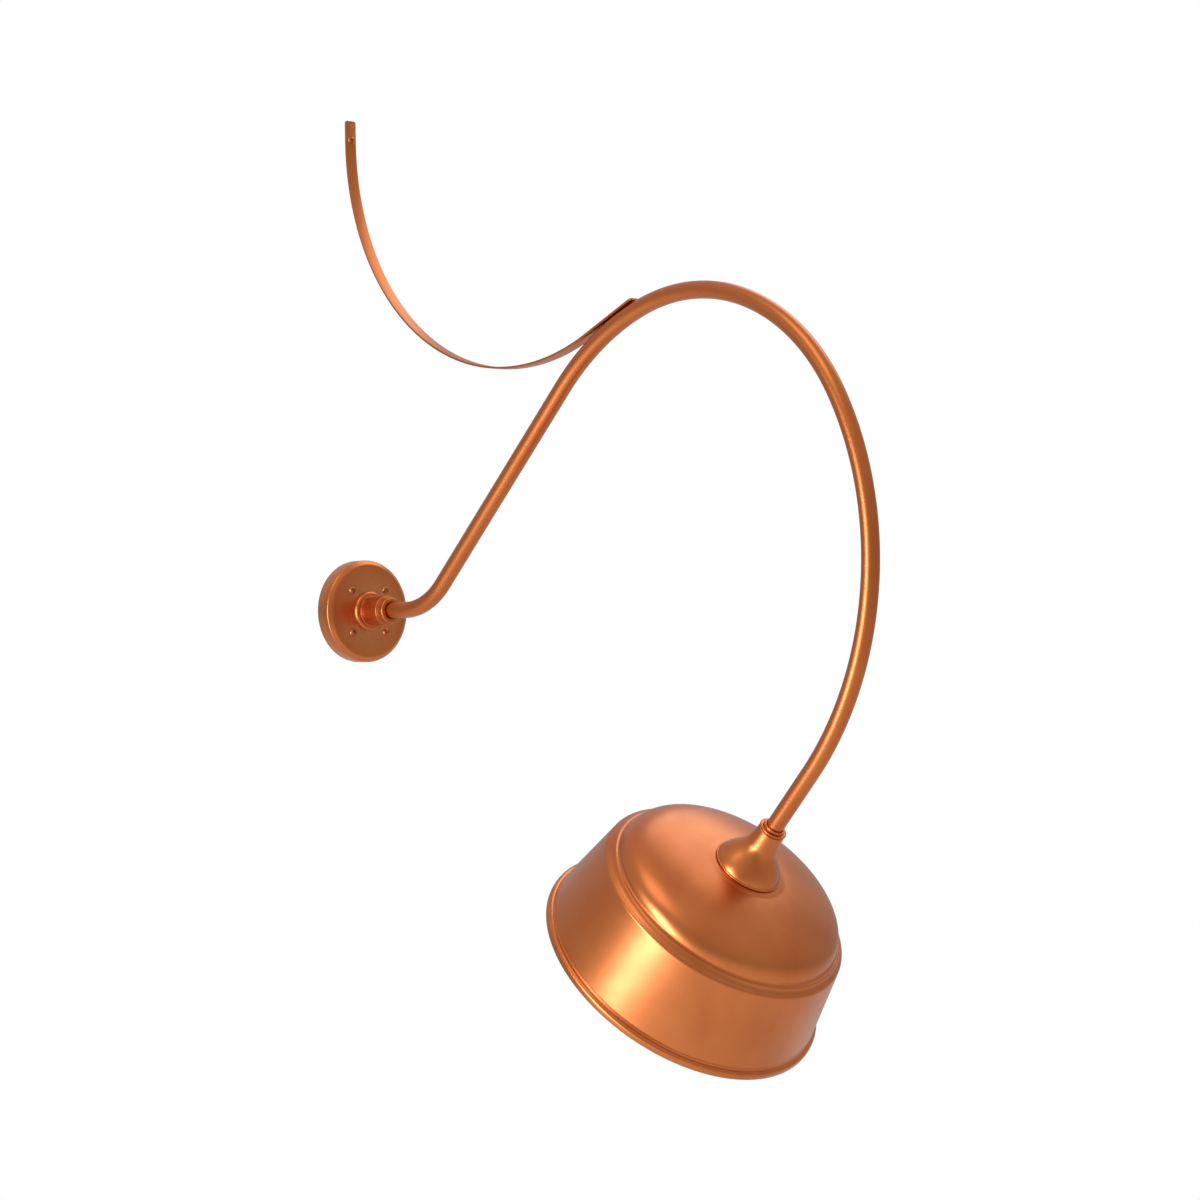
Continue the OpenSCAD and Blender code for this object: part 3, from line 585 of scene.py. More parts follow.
class Effects:
    """Node groups that several finishes share, built once."""

    def start(self, name: str, inputs: dict[str, str], outputs: dict[str, str]) -> tuple:
        """Starts a node group.

        Args:
            name: Name of the group.
            inputs: Types of its inputs by name.
            outputs: Types of its outputs by name.

        Returns:
            The graph, the group's inputs and its output node.
        """
        tree = bpy.data.node_groups.new(name, "ShaderNodeTree")
        for direction, sockets in (("INPUT", inputs), ("OUTPUT", outputs)):
            for key, kind in sockets.items():
                tree.interface.new_socket(key, in_out=direction, socket_type="NodeSocket" + kind)
        source = tree.nodes.new("NodeGroupInput")
        sink = tree.nodes.new("NodeGroupOutput")
        return Graph(tree), source.outputs, sink

    @cache
    def turned_lines(self) -> NodeTree:
        """Fine lines left by turning, round the piece's own Z."""
        inputs = {"Vector": "Vector", "Lines": "Float", "Waver": "Float"}
        graph, source, sink = self.start("Turned lines", inputs, {"Value": "Float"})
        x, y, z = graph.parts(source["Vector"])
        squares = graph.math("MULTIPLY", x, x), graph.math("MULTIPLY", y, y)
        reach = graph.math("SQRT", graph.math("ADD", *squares))
        drift = graph.noise(source["Vector"], 26.0, 1.0)
        across = graph.math("ADD", reach, graph.math("MULTIPLY", drift, source["Waver"]))
        line = graph.add("CombineXYZ", {0: across, 1: 0.0, 2: z}).outputs[0]
        wide = graph.add("VectorMath", {0: line, "Scale": source["Lines"]}, operation="SCALE").outputs[0]
        graph.fill(sink, {"Value": graph.noise(wide, 1.0, 5.0, Roughness=0.66)})
        return graph.tree

    @cache
    def drawn_lines(self) -> NodeTree:
        """Fine lines along a bar, from its length and turn."""
        inputs = {"Run": "Vector", "Along": "Float", "Across": "Float"}
        graph, source, sink = self.start("Drawn lines", inputs, {"Value": "Float"})
        length, turn, _ = graph.parts(source["Run"])
        along = graph.math("MULTIPLY", length, source["Along"])
        angle = graph.math("MULTIPLY", turn, TURN)
        up = graph.math("MULTIPLY", graph.math("SINE", angle), source["Across"])
        out = graph.math("MULTIPLY", graph.math("COSINE", angle), source["Across"])
        spot = graph.add("CombineXYZ", {0: along, 1: up, 2: out}).outputs[0]
        graph.fill(sink, {"Value": graph.noise(spot, 1.0, 4.0, Roughness=0.6)})
        return graph.tree

    @cache
    def mottle(self) -> NodeTree:
        """Slow changes of tone, as on handled metal or fired glaze."""
        inputs = {"Vector": "Vector", "Scale": "Float", "Light": "Color", "Deep": "Color"}
        graph, source, sink = self.start("Mottle", inputs, {"Color": "Color", "Mask": "Float"})
        noise = graph.noise(source["Vector"], source["Scale"], 3.0, Roughness=0.55, Distortion=0.4)
        mask = graph.range(noise, 0.34, 0.68, 0.0, 1.0)
        graph.fill(sink, {"Color": graph.mix(mask, source["Light"], source["Deep"]), "Mask": mask})
        return graph.tree

    @cache
    def edge_wear_and_sheen(self) -> NodeTree:
        """Lighter sharp edges, from the surface's pointiness, broken up by noise: a painted edge highlight on
        top of rubbed metal.
        """
        inputs = {"Pointiness": "Float", "Vector": "Vector", "Start": "Float", "End": "Float"}
        graph, source, sink = self.start("Edge wear", inputs, {"Mask": "Float"})
        broken = graph.range(graph.noise(source["Vector"], 160.0, 3.0), 0.3, 0.6, 0.35, 1.0)
        edge = graph.range(source["Pointiness"], source["Start"], source["End"], 0.0, 1.0)
        graph.fill(sink, {"Mask": graph.math("MULTIPLY", edge, broken)})
        return graph.tree

    @cache
    def grain(self) -> NodeTree:
        """Fine even grain, as on cast, moulded or sheathed surfaces, with a few specks of dust."""
        inputs = {"Vector": "Vector", "Scale": "Float"}
        graph, source, sink = self.start("Fine grain", inputs, {"Value": "Float", "Dust": "Float"})
        noise = graph.noise(source["Vector"], source["Scale"], 5.0, Roughness=0.6)
        sparse = graph.noise(source["Vector"], 900.0, 1.0)
        graph.fill(sink, {"Value": noise, "Dust": graph.range(sparse, 0.66, 0.74, 0.0, 1.0)})
        return graph.tree


EFFECTS = Effects()
RUN_MAP = "run"
# Pointiness range and share of the lighter sharp edges: a painted edge highlight on top of rubbed metal.
WEAR_AND_SHEEN_START = 0.53
WEAR_AND_SHEEN_END = 0.6
WEAR_AND_SHEEN_SHARE = 0.6
STREAK_SHARE = 0.16
DULL_SHARE = 0.05
LACQUER_ROUGHNESS = 0.28
LACQUER_IOR = 1.5
GLOSS_ROUGHNESS = 0.06
DUST_SHARE = 0.25
DUST: Colour = (0.55, 0.52, 0.48)


def new_material(name: str) -> tuple[Material, Graph, Node]:
    """Starts a material.

    Args:
        name: Name of the material.

    Returns:
        The material, its graph and its Principled shader.
    """
    material = bpy.data.materials.new(name)
    material.use_nodes = True
    shader = material.node_tree.nodes["Principled BSDF"]
    return material, Graph(material.node_tree), shader


@dataclass(frozen=True)
class Metal:
    """A bare or plated metal.

    Attributes:
        name: Name of the finish.
        light: Its usual colour.
        deep: Its colour where it is duller.
        worn_and_sheen: Its colour on sharp edges, a painted edge highlight on top of rubbed metal.
        roughness: Roughness of the plain surface.
        grain: The way its fine lines run.
        lines: Lines for each metre across the grain.
        relief: Depth of the lines, in millimetres.
        anisotropy: How much the lines stretch a highlight.
        mottle_scale: Scale of the slow changes of tone.
        spread: How far the lines change the roughness.
        lacquer: Weight of the clear lacquer over the metal.
    """

    name: str
    light: Colour
    deep: Colour
    worn_and_sheen: Colour
    roughness: float
    grain: Grain = Grain.TURNED
    lines: float = 1400.0
    relief: float = 0.012
    anisotropy: float = 0.0
    mottle_scale: float = 9.0
    spread: float = 0.09
    lacquer: float = 0.0

    def material(self) -> Material:
        """Builds the material once for the pieces that wear it."""
        material, graph, shader = new_material(self.name)
        where = graph.where()
        tone = graph.group(EFFECTS.mottle(), {"Vector": where, "Scale": self.mottle_scale,
                                              "Light": self.light, "Deep": self.deep}).outputs
        point = graph.add("NewGeometry").outputs["Pointiness"]
        wear_and_sheen = graph.group(EFFECTS.edge_wear_and_sheen(), {"Pointiness": point, "Vector": where, "Start": WEAR_AND_SHEEN_START,
                                                 "End": WEAR_AND_SHEEN_END})
        if self.grain is Grain.TURNED:
            line = graph.group(EFFECTS.turned_lines(), {"Vector": where, "Lines": self.lines,
                                                        "Waver": 0.6 * MM})
        elif self.grain is Grain.DRAWN:
            run = graph.add("UVMap", uv_map=RUN_MAP).outputs[0]
            line = graph.group(EFFECTS.drawn_lines(), {"Run": run, "Along": 18.0, "Across": self.lines / 60})
        else:
            line = graph.group(EFFECTS.grain(), {"Vector": where, "Scale": self.lines})
        value = line.outputs["Value"]
        # Sharp edges turn lighter: a painted edge highlight on top of rubbed metal.
        colour = graph.mix(graph.math("MULTIPLY", wear_and_sheen.outputs["Mask"], WEAR_AND_SHEEN_SHARE), tone["Color"], self.worn_and_sheen)
        streak = graph.range(value, 0.3, 0.7, 0.0, STREAK_SHARE)
        spread = graph.math("MULTIPLY", value, self.spread)
        rough = graph.math("ADD", self.roughness - self.spread / 2, spread)
        dull = graph.math("MULTIPLY", tone["Mask"], DULL_SHARE)
        graph.fill(shader, {
            "Base Color": graph.mix(streak, colour, self.deep), "Roughness": graph.math("ADD", rough, dull),
            "Normal": graph.relief(value, self.relief * MM), "Metallic": 1.0, "Anisotropic": self.anisotropy,
            "Coat Weight": self.lacquer, "Coat Roughness": LACQUER_ROUGHNESS, "Coat IOR": LACQUER_IOR
        })
        return material


@dataclass(frozen=True)
class Coated:
    """A non-metal surface: rubber, sheathing, moulded plastic, enamel or glaze.

    Attributes:
        name: Name of the finish.
        light: Its usual colour.
        deep: Its colour where it is darker.
        roughness: Roughness of the plain surface.
        scale: Scale of its fine grain.
        relief: Depth of the grain, in millimetres.
        gloss: Weight of a clear coat.
        spread: How far the grain changes the roughness.
    """

    name: str
    light: Colour
    deep: Colour
    roughness: float
    scale: float = 600.0
    relief: float = 0.02
    gloss: float = 0.0
    spread: float = 0.1

    def material(self) -> Material:
        """Builds the material once for the pieces that wear it."""
        material, graph, shader = new_material(self.name)
        where = graph.where()
        tone = graph.group(EFFECTS.mottle(), {"Vector": where, "Scale": 22.0, "Light": self.light,
                                              "Deep": self.deep}).outputs
        grain = graph.group(EFFECTS.grain(), {"Vector": where, "Scale": self.scale}).outputs
        dusty = graph.math("MULTIPLY", grain["Dust"], DUST_SHARE)
        spread = graph.math("MULTIPLY", grain["Value"], self.spread)
        graph.fill(shader, {
            "Base Color": graph.mix(dusty, tone["Color"], DUST),
            "Roughness": graph.math("ADD", self.roughness - self.spread / 2, spread),
            "Normal": graph.relief(grain["Value"], self.relief * MM), "Coat Weight": self.gloss,
            "Coat Roughness": GLOSS_ROUGHNESS
        })
        return material


@dataclass(frozen=True)
class Glass:
    """Clear glass with a faint tint."""

    name: str
    tint: Colour
    roughness: float = 0.0
    ior: float = 1.47

    def material(self) -> Material:
        """Builds the material, with faint ripples from blowing."""
        material, graph, shader = new_material(self.name)
        tone = graph.group(EFFECTS.mottle(), {"Vector": graph.where(), "Scale": 14.0, "Light": self.tint,
                                              "Deep": tuple(0.97 * part for part in self.tint)}).outputs
        graph.fill(shader, {
            "Base Color": tone["Color"], "Roughness": self.roughness, "IOR": self.ior,
            "Transmission Weight": 1.0, "Normal": graph.relief(tone["Mask"], 0.04 * MM, 0.4)
        })
        return material


COPPER_LIGHT: Colour = (0.70, 0.200, 0.050)
COPPER_DEEP: Colour = (0.58, 0.146, 0.032)
# Brighter copper for sharp edges: a painted edge highlight on top of rubbed metal.
COPPER_WORN_AND_SHEEN: Colour = (0.84, 0.38, 0.16)
LACQUER = 0.35


class Finish(Enum):
    """Every finish on the lamp."""

    SPUN_COPPER = Metal("Spun copper", COPPER_LIGHT, COPPER_DEEP, COPPER_WORN_AND_SHEEN, 0.29, anisotropy=0.3,
                        lacquer=LACQUER)
    DRAWN_COPPER = Metal("Drawn copper", (0.62, 0.172, 0.038), COPPER_DEEP, COPPER_WORN_AND_SHEEN, 0.33,
                         grain=Grain.DRAWN, lines=900.0, relief=0.006, lacquer=LACQUER)
    CAST_COPPER = Metal("Turned cast copper", (0.68, 0.190, 0.044), (0.55, 0.138, 0.028), COPPER_WORN_AND_SHEEN, 0.31,
                        lines=1100.0, lacquer=LACQUER)
    SCREW_COPPER = Metal("Copper screws", (0.50, 0.136, 0.032), (0.38, 0.092, 0.018), COPPER_WORN_AND_SHEEN, 0.33,
                         grain=Grain.CAST, lines=700.0, relief=0.01, lacquer=LACQUER)
    ZINC = Metal("Zinc plated steel", (0.60, 0.61, 0.62), (0.48, 0.49, 0.50), (0.78, 0.78, 0.78), 0.36,
                 grain=Grain.CAST, lines=520.0, relief=0.01, mottle_scale=60.0)
    GREEN_SCREW = Coated("Green dyed screws", (0.03, 0.20, 0.06), (0.015, 0.12, 0.035), 0.34, gloss=0.3)
    SEAL = Coated("Black seal rubber", (0.028, 0.028, 0.03), (0.016, 0.016, 0.017), 0.72, scale=900.0,
                  relief=0.04)
    GLAZE = Coated("Glazed porcelain", (0.80, 0.77, 0.70), (0.72, 0.68, 0.60), 0.22, scale=260.0,
                   relief=0.008, gloss=0.7)
    BRASS = Metal("Rolled brass", (0.70, 0.46, 0.17), (0.58, 0.36, 0.12), (0.88, 0.66, 0.34), 0.24,
                  lines=900.0, relief=0.006)
    BLACK_SHEATH = Coated("Black sheath", (0.02, 0.02, 0.02), (0.012, 0.012, 0.012), 0.5)
    WHITE_SHEATH = Coated("White sheath", (0.72, 0.71, 0.68), (0.62, 0.60, 0.56), 0.5)
    GREEN_SHEATH = Coated("Green sheath", (0.02, 0.16, 0.045), (0.012, 0.11, 0.03), 0.5)
    CONNECTOR = Coated("Orange connector plastic", (0.62, 0.13, 0.02), (0.5, 0.095, 0.014), 0.42)
    SOLDER = Metal("Tinned contact", (0.62, 0.62, 0.60), (0.45, 0.45, 0.43), (0.8, 0.8, 0.78), 0.32,
                   grain=Grain.CAST, lines=400.0, relief=0.03, mottle_scale=200.0)
    BLACK_GLASS = Coated("Black insulator glass", (0.012, 0.012, 0.014), (0.006, 0.006, 0.007), 0.12,
                         gloss=0.8, relief=0.004)
    BULB_GLASS = Glass("Bulb glass", (0.985, 0.965, 0.92))
    STEM_GLASS = Glass("Stem glass", (0.95, 0.96, 0.95), roughness=0.08, ior=1.5)
    FILAMENT = Coated("Filament coating", (0.86, 0.50, 0.07), (0.74, 0.38, 0.04), 0.5, scale=1500.0,
                      relief=0.03)

    @cache
    def paint(self) -> Material:
        """The finish's material, built when it is first asked for."""
        return self.value.material()


WALL = Place((0, 0, 0), 90.0)


@dataclass
class Canopy:
    """The round canopy on the wall with its plate, posts, seal and screws."""

    outer_d: float = 136.0
    height: float = 23.0
    rim_h: float = 18.5
    face_d: float = 124.0
    wall: float = 1.6
    seal_t: float = 1.5
    spigot_d: float = 30.0
    screw_square: float = 56.3
    screw_hole_r: float = 2.6

    @property
    def face_x(self) -> float:
        """Distance of the canopy's face from the wall."""
        return self.seal_t + self.height

    def shell(self) -> Object:
        """The spun cover with its turned rim."""
        half = self.outer_d / 2
        hole = self.spigot_d / 2 + 0.2
        inner = inset([(half, self.seal_t), (half, self.seal_t + self.rim_h), (self.face_d / 2, self.face_x),
                       (hole, self.face_x)], self.wall)
        outline = rounded([
            (half, self.seal_t, 0), (half, self.seal_t + self.rim_h, 3), (self.face_d / 2, self.face_x, 4),
            (hole, self.face_x, 0), (*inner[3], 0), (*inner[2], 2.4), (*inner[1], 1.4), (*inner[0], 0)
        ])
        shell = turned("canopy_shell", outline, WALL, steps=192)
        off = self.screw_square / 2 * MM
        spots = [Vector(((self.face_x - 1) * MM, y, z)) for y in (-off, off) for z in (-off, off)]
        bore(shell, self.screw_hole_r, spots, Vector((1, 0, 0)), 6)
        return shell

    def build(self, nodes: dict[str, Object]) -> None:
        """Makes the cover and dresses what it hides."""
        wear_piece(self.shell(), Finish.SPUN_COPPER, "canopy")
        dress(nodes, {"mounting_plate": Finish.ZINC, "standoff_posts": Finish.ZINC,
                      "canopy_gasket": Finish.SEAL, "canopy_screws": Finish.SCREW_COPPER,
                      "ground_screw": Finish.GREEN_SCREW})


@dataclass
class Hub:
    """The stepped hub that holds the arm on the canopy."""

    face_x: float
    base_d: float = 53.2
    base_h: float = 6.0
    body_d: float = 39.0
    body_l: float = 37.5
    step_d: float = 34.4
    step_l: float = 10.0
    mouth_depth: float = 5.0
    mouth_gap: float = 0.95
    spigot_d: float = 30.0
    back_x: float = 15.5
    tube_r: float = 10.67

    def turned_hub(self) -> Object:
        """The hub with its rounded base, shoulder and open mouth."""
        step_x = self.face_x + self.body_l
        tip_x = step_x + self.step_l
        grip = self.tube_r + THREAD_GAP
        mouth = self.tube_r + self.mouth_gap
        base_x = self.face_x + self.base_h
        return turned("hub_turned", rounded([
            (grip, self.back_x, 0), (self.spigot_d / 2, self.back_x, 0.6),
            (self.spigot_d / 2, self.face_x, 0), (self.base_d / 2, self.face_x, 0),
            (self.base_d / 2, base_x, self.base_h * 0.75),
            (self.body_d / 2, base_x, 1), (self.body_d / 2, step_x, 1.4),
            (self.step_d / 2, step_x, 0.6), (self.step_d / 2, tip_x, 2), (mouth, tip_x, 0.5),
            (mouth, tip_x - self.mouth_depth, 0), (grip, tip_x - self.mouth_depth, 0)
        ], 8), WALL, steps=160)

    def build(self, nodes: dict[str, Object]) -> None:
        """Makes the hub and dresses its nut."""
        wear_piece(self.turned_hub(), Finish.CAST_COPPER, "hub")
        dress(nodes, {"hub_locknut": Finish.ZINC})


@dataclass
class Arm:
    """The bent tube from the hub to the neck."""

    start: Pose = Pose(15.5, 0, 0)
    tube_d: float = 21.34
    wall: float = 1.65
    runs: tuple[Run, ...] = (Run(length=85.5), Run(radius=106, turn=45), Run(length=335),
                             Run(radius=351, turn=-27), Run(length=0.5), Run(radius=267.7, turn=-78.25),
                             Run(length=0.5), Run(radius=370, turn=-72.25), Run(length=84))
    neck_grip: float = 28.0
    crest: int = 3
    spacing: float = 3.6

    def end(self) -> Pose:
        """Pose of the arm at the top of the lock ring."""
        return self.after(len(self.runs))

    def after(self, count: int) -> Pose:
        """Pose after a number of runs."""
        pose = self.start
        for run in self.runs[:count]:
            pose = run.along(pose, 1)
        return pose

    def crest_centre(self) -> Vector:
        """Centre of the arc that the strap touches, in millimetres."""
        pose = self.after(self.crest)
        return pose.point() - pose.left() * self.runs[self.crest].radius

    def tube(self, screw: Pose, screw_r: float) -> Object:
        """The tube with the hole of the strap's screw."""
        poses = trace(self.start, [*self.runs, Run(length=self.neck_grip)], self.spacing)
        outer = circle(self.tube_d / 2, 56)
        inner = circle(self.tube_d / 2 - self.wall, 56)
        tube = swept("arm_tube", poses, outer, inner)
        spot = (screw.point() - screw.left() * self.tube_d / 2) * MM
        bore(tube, screw_r, [spot], screw.left(), self.tube_d / 2 + 4)
        return tube

    def build(self, screw: Pose, screw_r: float) -> None:
        """Makes the tube."""
        wear_piece(self.tube(screw, screw_r), Finish.DRAWN_COPPER, "gooseneck_arm")


@dataclass
class Brace:
    """The flat strap from the wall down to the arm, with its two screws."""

    arm: Arm
    width: float = 17.0
    thick: float = 2.6
    wall_l: float = 28.0
    rise_deg: float = 24.0
    run_l: float = 54.0
    tip_l: float = 35.0
    hole_z: float = 25.0
    hole_u: float = -4.0
    edge_r: float = 0.5
    corner_r: float = 3.0
    wall_hole_r: float = 2.6
    arm_hole_r: float = 1.69
    arm_thread_r: float = 1.54

    def touch(self) -> Pose:
        """Pose where the strap first lies on the arm."""
        reach = self.arm.runs[self.arm.crest].radius + self.arm.tube_d / 2 + self.thick / 2
        spot = self.arm.crest_centre() + Pose(0, 0, self.rise_deg).left() * reach
        return Pose(spot.x, spot.z, self.rise_deg)

    def bend_r(self) -> float:
        """Radius of the strap's sweep."""
        angle = math.radians(self.rise_deg)
        return (self.touch().x - self.run_l * math.cos(angle) - self.thick / 2) / (1 + math.sin(angle))

    def top_z(self) -> float:
        """Height of the strap's upper end."""
        angle = math.radians(self.rise_deg)
        return (self.touch().z - self.run_l * math.sin(angle) + self.bend_r() * math.cos(angle)) + self.wall_l

    def screw_pose(self) -> Pose:
        """Pose of the screw into the arm, at the strap's middle."""
        return Run(length=self.hole_u).along(self.touch(), 1)

    def width_share(self, here: float, whole: float) -> float:
        """Share of the width at a distance from the start, less within the round corners."""
        near = max(0.0, min(here, whole - here))
        if near >= self.corner_r:
            return 1.0
        bite = self.corner_r - math.sqrt(self.corner_r ** 2 - (self.corner_r - near) ** 2)
        return 1 - bite / (self.width / 2)

    def strap(self) -> Object:
        """The bent bar with eased edges, round corners and its two holes."""
        marks = [self.corner_r * (1 - math.cos(math.radians(15 * step))) for step in range(7)]
        steps = [Run(length=after - before) for before, after in zip(marks, marks[1:])]
        runs = [*steps, Run(length=self.wall_l - self.corner_r),
                Run(radius=self.bend_r(), turn=90 + self.rise_deg),
                Run(length=self.run_l + self.tip_l - self.corner_r), *reversed(steps)]
        half_t = self.thick / 2
        half_w = self.width / 2
        section = rounded([(half_t, -half_w, self.edge_r), (half_t, half_w, self.edge_r),
                           (-half_t, half_w, self.edge_r), (-half_t, -half_w, self.edge_r)], 3)
        strap = swept("strap_bar", trace(Pose(half_t, self.top_z(), -90), runs, 4.5), section,
                      share=self.width_share)
        hole = Vector((half_t, 0, self.top_z() - self.hole_z)) * MM
        bore(strap, self.wall_hole_r, [hole], Vector((1, 0, 0)), 3 * self.thick)
        screw = self.screw_pose()
        bore(strap, self.arm_hole_r, [screw.point() * MM], screw.left(), 3 * self.thick)
        return strap

    def build(self, nodes: dict[str, Object]) -> None:
        """Makes the strap and dresses its screws."""
        wear_piece(self.strap(), Finish.DRAWN_COPPER, "brace_strap")
        dress(nodes, {"strap_wall_screw": Finish.SCREW_COPPER, "strap_arm_screw": Finish.SCREW_COPPER})


@dataclass
class Neck:
    """The bell neck with the lock ring on top of it."""

    place: Place
    tube_r: float = 10.67
    bore_r: float = 9.02
    ring_h: float = 3.5
    ring_d: float = 27.0
    collar_h: float = 4.5
    collar_d: float = 34.0
    height: float = 62.5
    waist_d: float = 32.6
    taper: float = 0.14
    flare_start: float = 24.5
    lip_d: float = 84.4
    lip_h: float = 3.0
    wall: float = 3.0
    grip: float = 28.0
    boss_r: float = 4.2
    boss_h: float = 6.5
    screw_pcd: float = 66.0
    screw_r: float = 2.15
    lip_drop: float = 0.9
    lip_edge: float = 1.2

    def lock_ring(self) -> Object:
        """The ring that locks the neck on the tube."""
        inner = self.tube_r + THREAD_GAP
        return turned("neck_ring_turned", rounded([
            (inner, 0.8, 0), (self.tube_r + 0.8, 0, 0.3), (self.ring_d / 2, 0, 1.2),
            (self.ring_d / 2, self.ring_h, 0.5), (inner, self.ring_h, 0)
        ], 6), self.place, steps=128)

    def side_r(self, height: float) -> float:
        """Radius of the neck at a height below its top."""
        body_l = self.height - self.lip_h - self.collar_h
        flare = (self.lip_d - self.waist_d) / 2 - self.taper * body_l - 1.6
        share = min(1.0, max(0.0, (height - self.flare_start) / (self.height - self.flare_start)))
        eased = share * share * (3 - 2 * share)
        return self.waist_d / 2 + self.taper * (height - self.collar_h) + flare * eased

    def side(self, start: float, end: float, steps: int) -> list[Point]:
        """Outline of the neck between two heights."""
        rows = [start + (end - start) * step / steps for step in range(steps + 1)]
        return [(self.side_r(height), height) for height in rows]

    def bell(self) -> Object:
        """The bell with its collar, lip and the bosses inside it."""
        place = self.place.moved(0, 0, self.ring_h)
        thread_r = self.tube_r + THREAD_GAP
        foot = self.height - self.lip_h
        inside = inset(self.side(self.flare_start + 6, foot, 24), self.wall)
        grip_z = self.grip - self.ring_h
        collar = rounded([(thread_r, 0, 0), (self.collar_d / 2, 0, 1.4),
                          (self.collar_d / 2, self.collar_h, 1.4)], 6)
        lip_z = foot + self.lip_drop
        lip_r = self.lip_d / 2 - self.lip_h / 2
        lip = arc((lip_r, lip_z + self.lip_h / 2), self.lip_h / 2, -90, 90, 12)
        step = [(lip_r - self.lip_edge, lip_z + self.lip_h), (lip_r - self.lip_edge, self.height)]
        outline = [*collar, *self.side(self.collar_h, lip_z, 56), *lip, *step, (inside[-1][0], self.height),
                   *reversed(inside), (self.bore_r, grip_z + 2.5), (self.bore_r, grip_z), (thread_r, grip_z)]
        bell = turned("neck_bell_turned", outline, place, steps=192)
        boss = rounded([(0, 0, 0), (self.boss_r, 0, 0.4), (self.boss_r, self.boss_h, 0.3),
                        (self.screw_r, self.boss_h, 0), (self.screw_r, 1, 0), (0, 1, 0)], 3)
        bosses = [turned("boss", boss, place.moved(x, y, self.height - self.boss_h), steps=40, closed=False)
                  for x, y in round_places(self.screw_pcd)]
        return join([bell, *bosses], "neck_bell_turned")

    def build(self) -> None:
        """Makes the ring and the bell."""
        wear_piece(self.lock_ring(), Finish.CAST_COPPER, "neck_lock_ring")
        wear_piece(self.bell(), Finish.CAST_COPPER, "neck_bell")


@dataclass
class Shade:
    """The spun dome shade with its bead, shoulder, skirt and rolled rim."""

    place: Place
    wall: float = 1.2
    seat_d: float = 86.0
    hole_d: float = 52.0
    dome_d: float = 288.4
    dome_h: float = 50.0
    dome_k: float = 2.34
    dome_start: float = 16.0
    dome_end: float = 85.4
    foot_r: float = 3.0
    bead_r: float = 2.6
    groove_depth: float = 0.5
    shoulder_step: float = 13.6
    shoulder_drop: float = 15.1
    shoulder_r: float = 6.0
    skirt_h: float = 95.5
    skirt_flare: float = 17.2
    rim_step: float = 5.9
    rim_groove: float = 0.6
    rim_h: float = 11.5
    rim_roll_r: float = 3.0
    screw_pcd: float = 66.0
    screw_hole_r: float = 2.3

    def dome(self, steps: int = 56) -> list[Point]:
        """Outline of the dome."""
        line = []
        for step in range(steps + 1):
            angle = math.radians(self.dome_start + (self.dome_end - self.dome_start) * step / steps)
            wide = self.dome_d / 2 * math.sin(angle) ** (2 / self.dome_k)
            line.append((wide, self.dome_h * (1 - math.cos(angle) ** (2 / self.dome_k))))
        return line

    def band(self, foot: Point) -> list[Point]:
        """Outline from the dome's foot through the hollow, bead, groove and shoulder."""
        hollow = arc((foot[0] + self.foot_r, foot[1]), self.foot_r, 175, 95, 16)
        lean = math.radians(-95)
        bead_c = (hollow[-1][0] - self.bead_r * math.cos(lean), hollow[-1][1] - self.bead_r * math.sin(lean))
        bead = arc(bead_c, self.bead_r, -90, -30, 12)
        shoulder_c = (foot[0] + self.shoulder_step - self.shoulder_r, foot[1] + self.shoulder_drop)
        shoulder = arc(shoulder_c, self.shoulder_r, -60, -10, 14)
        start = Vector(bead[-1])
        chord = Vector(shoulder[0]) - start
        across = Vector((-chord.y, chord.x)).normalized()
        groove = []
        for step in range(1, 12):
            share = step / 12
            spot = start + chord * share + across * (4 * self.groove_depth * share * (1 - share))
            groove.append((spot.x, spot.y))
        return [*hollow, *bead, *groove, *shoulder]

    def outline(self) -> list[Point]:
        """The whole outline, outside and inside."""
        dome = self.dome()
        band = self.band(dome[-1])
        skirt_r = band[-1][0] + self.skirt_flare
        rim_z = band[-1][1] + self.skirt_h
        line = [(self.hole_d / 2, 0), (self.seat_d / 2, 0), *dome, *band, (skirt_r, rim_z)]
        lead = 0.8
        round_r = self.rim_step - lead
        roll_r = skirt_r + self.rim_step - self.rim_roll_r
        rim = [(skirt_r - self.rim_groove, rim_z + 1.2),
               *arc((skirt_r + lead, rim_z + 3.6 + round_r), round_r, -90, 0, 10),
               *arc((roll_r, rim_z + self.rim_h), self.rim_roll_r, 0, 180, 20)]
        back = [(roll_r - self.rim_roll_r, rim_z + 6), (skirt_r - self.wall - 0.4, rim_z + 3.6)]
        return [*line, *rim, *back, *reversed(inset(line, self.wall))]

    def spun(self) -> Object:
        """The shade with its three screw holes."""
        shade = turned("shade_spun", self.outline(), self.place, steps=300)
        spots = [self.place.spot(x, y, self.wall / 2) for x, y in round_places(self.screw_pcd)]
        bore(shade, self.screw_hole_r, spots, self.place.axis(), 5 * self.wall)
        return shade

    def build(self, nodes: dict[str, Object]) -> None:
        """Makes the shade and dresses what holds it."""
        wear_piece(self.spun(), Finish.SPUN_COPPER, "shade")
        dress(nodes, {"fitter_gasket": Finish.SEAL, "backing_ring": Finish.ZINC, "shade_screws": Finish.ZINC,
                      "bond_screw": Finish.GREEN_SCREW})


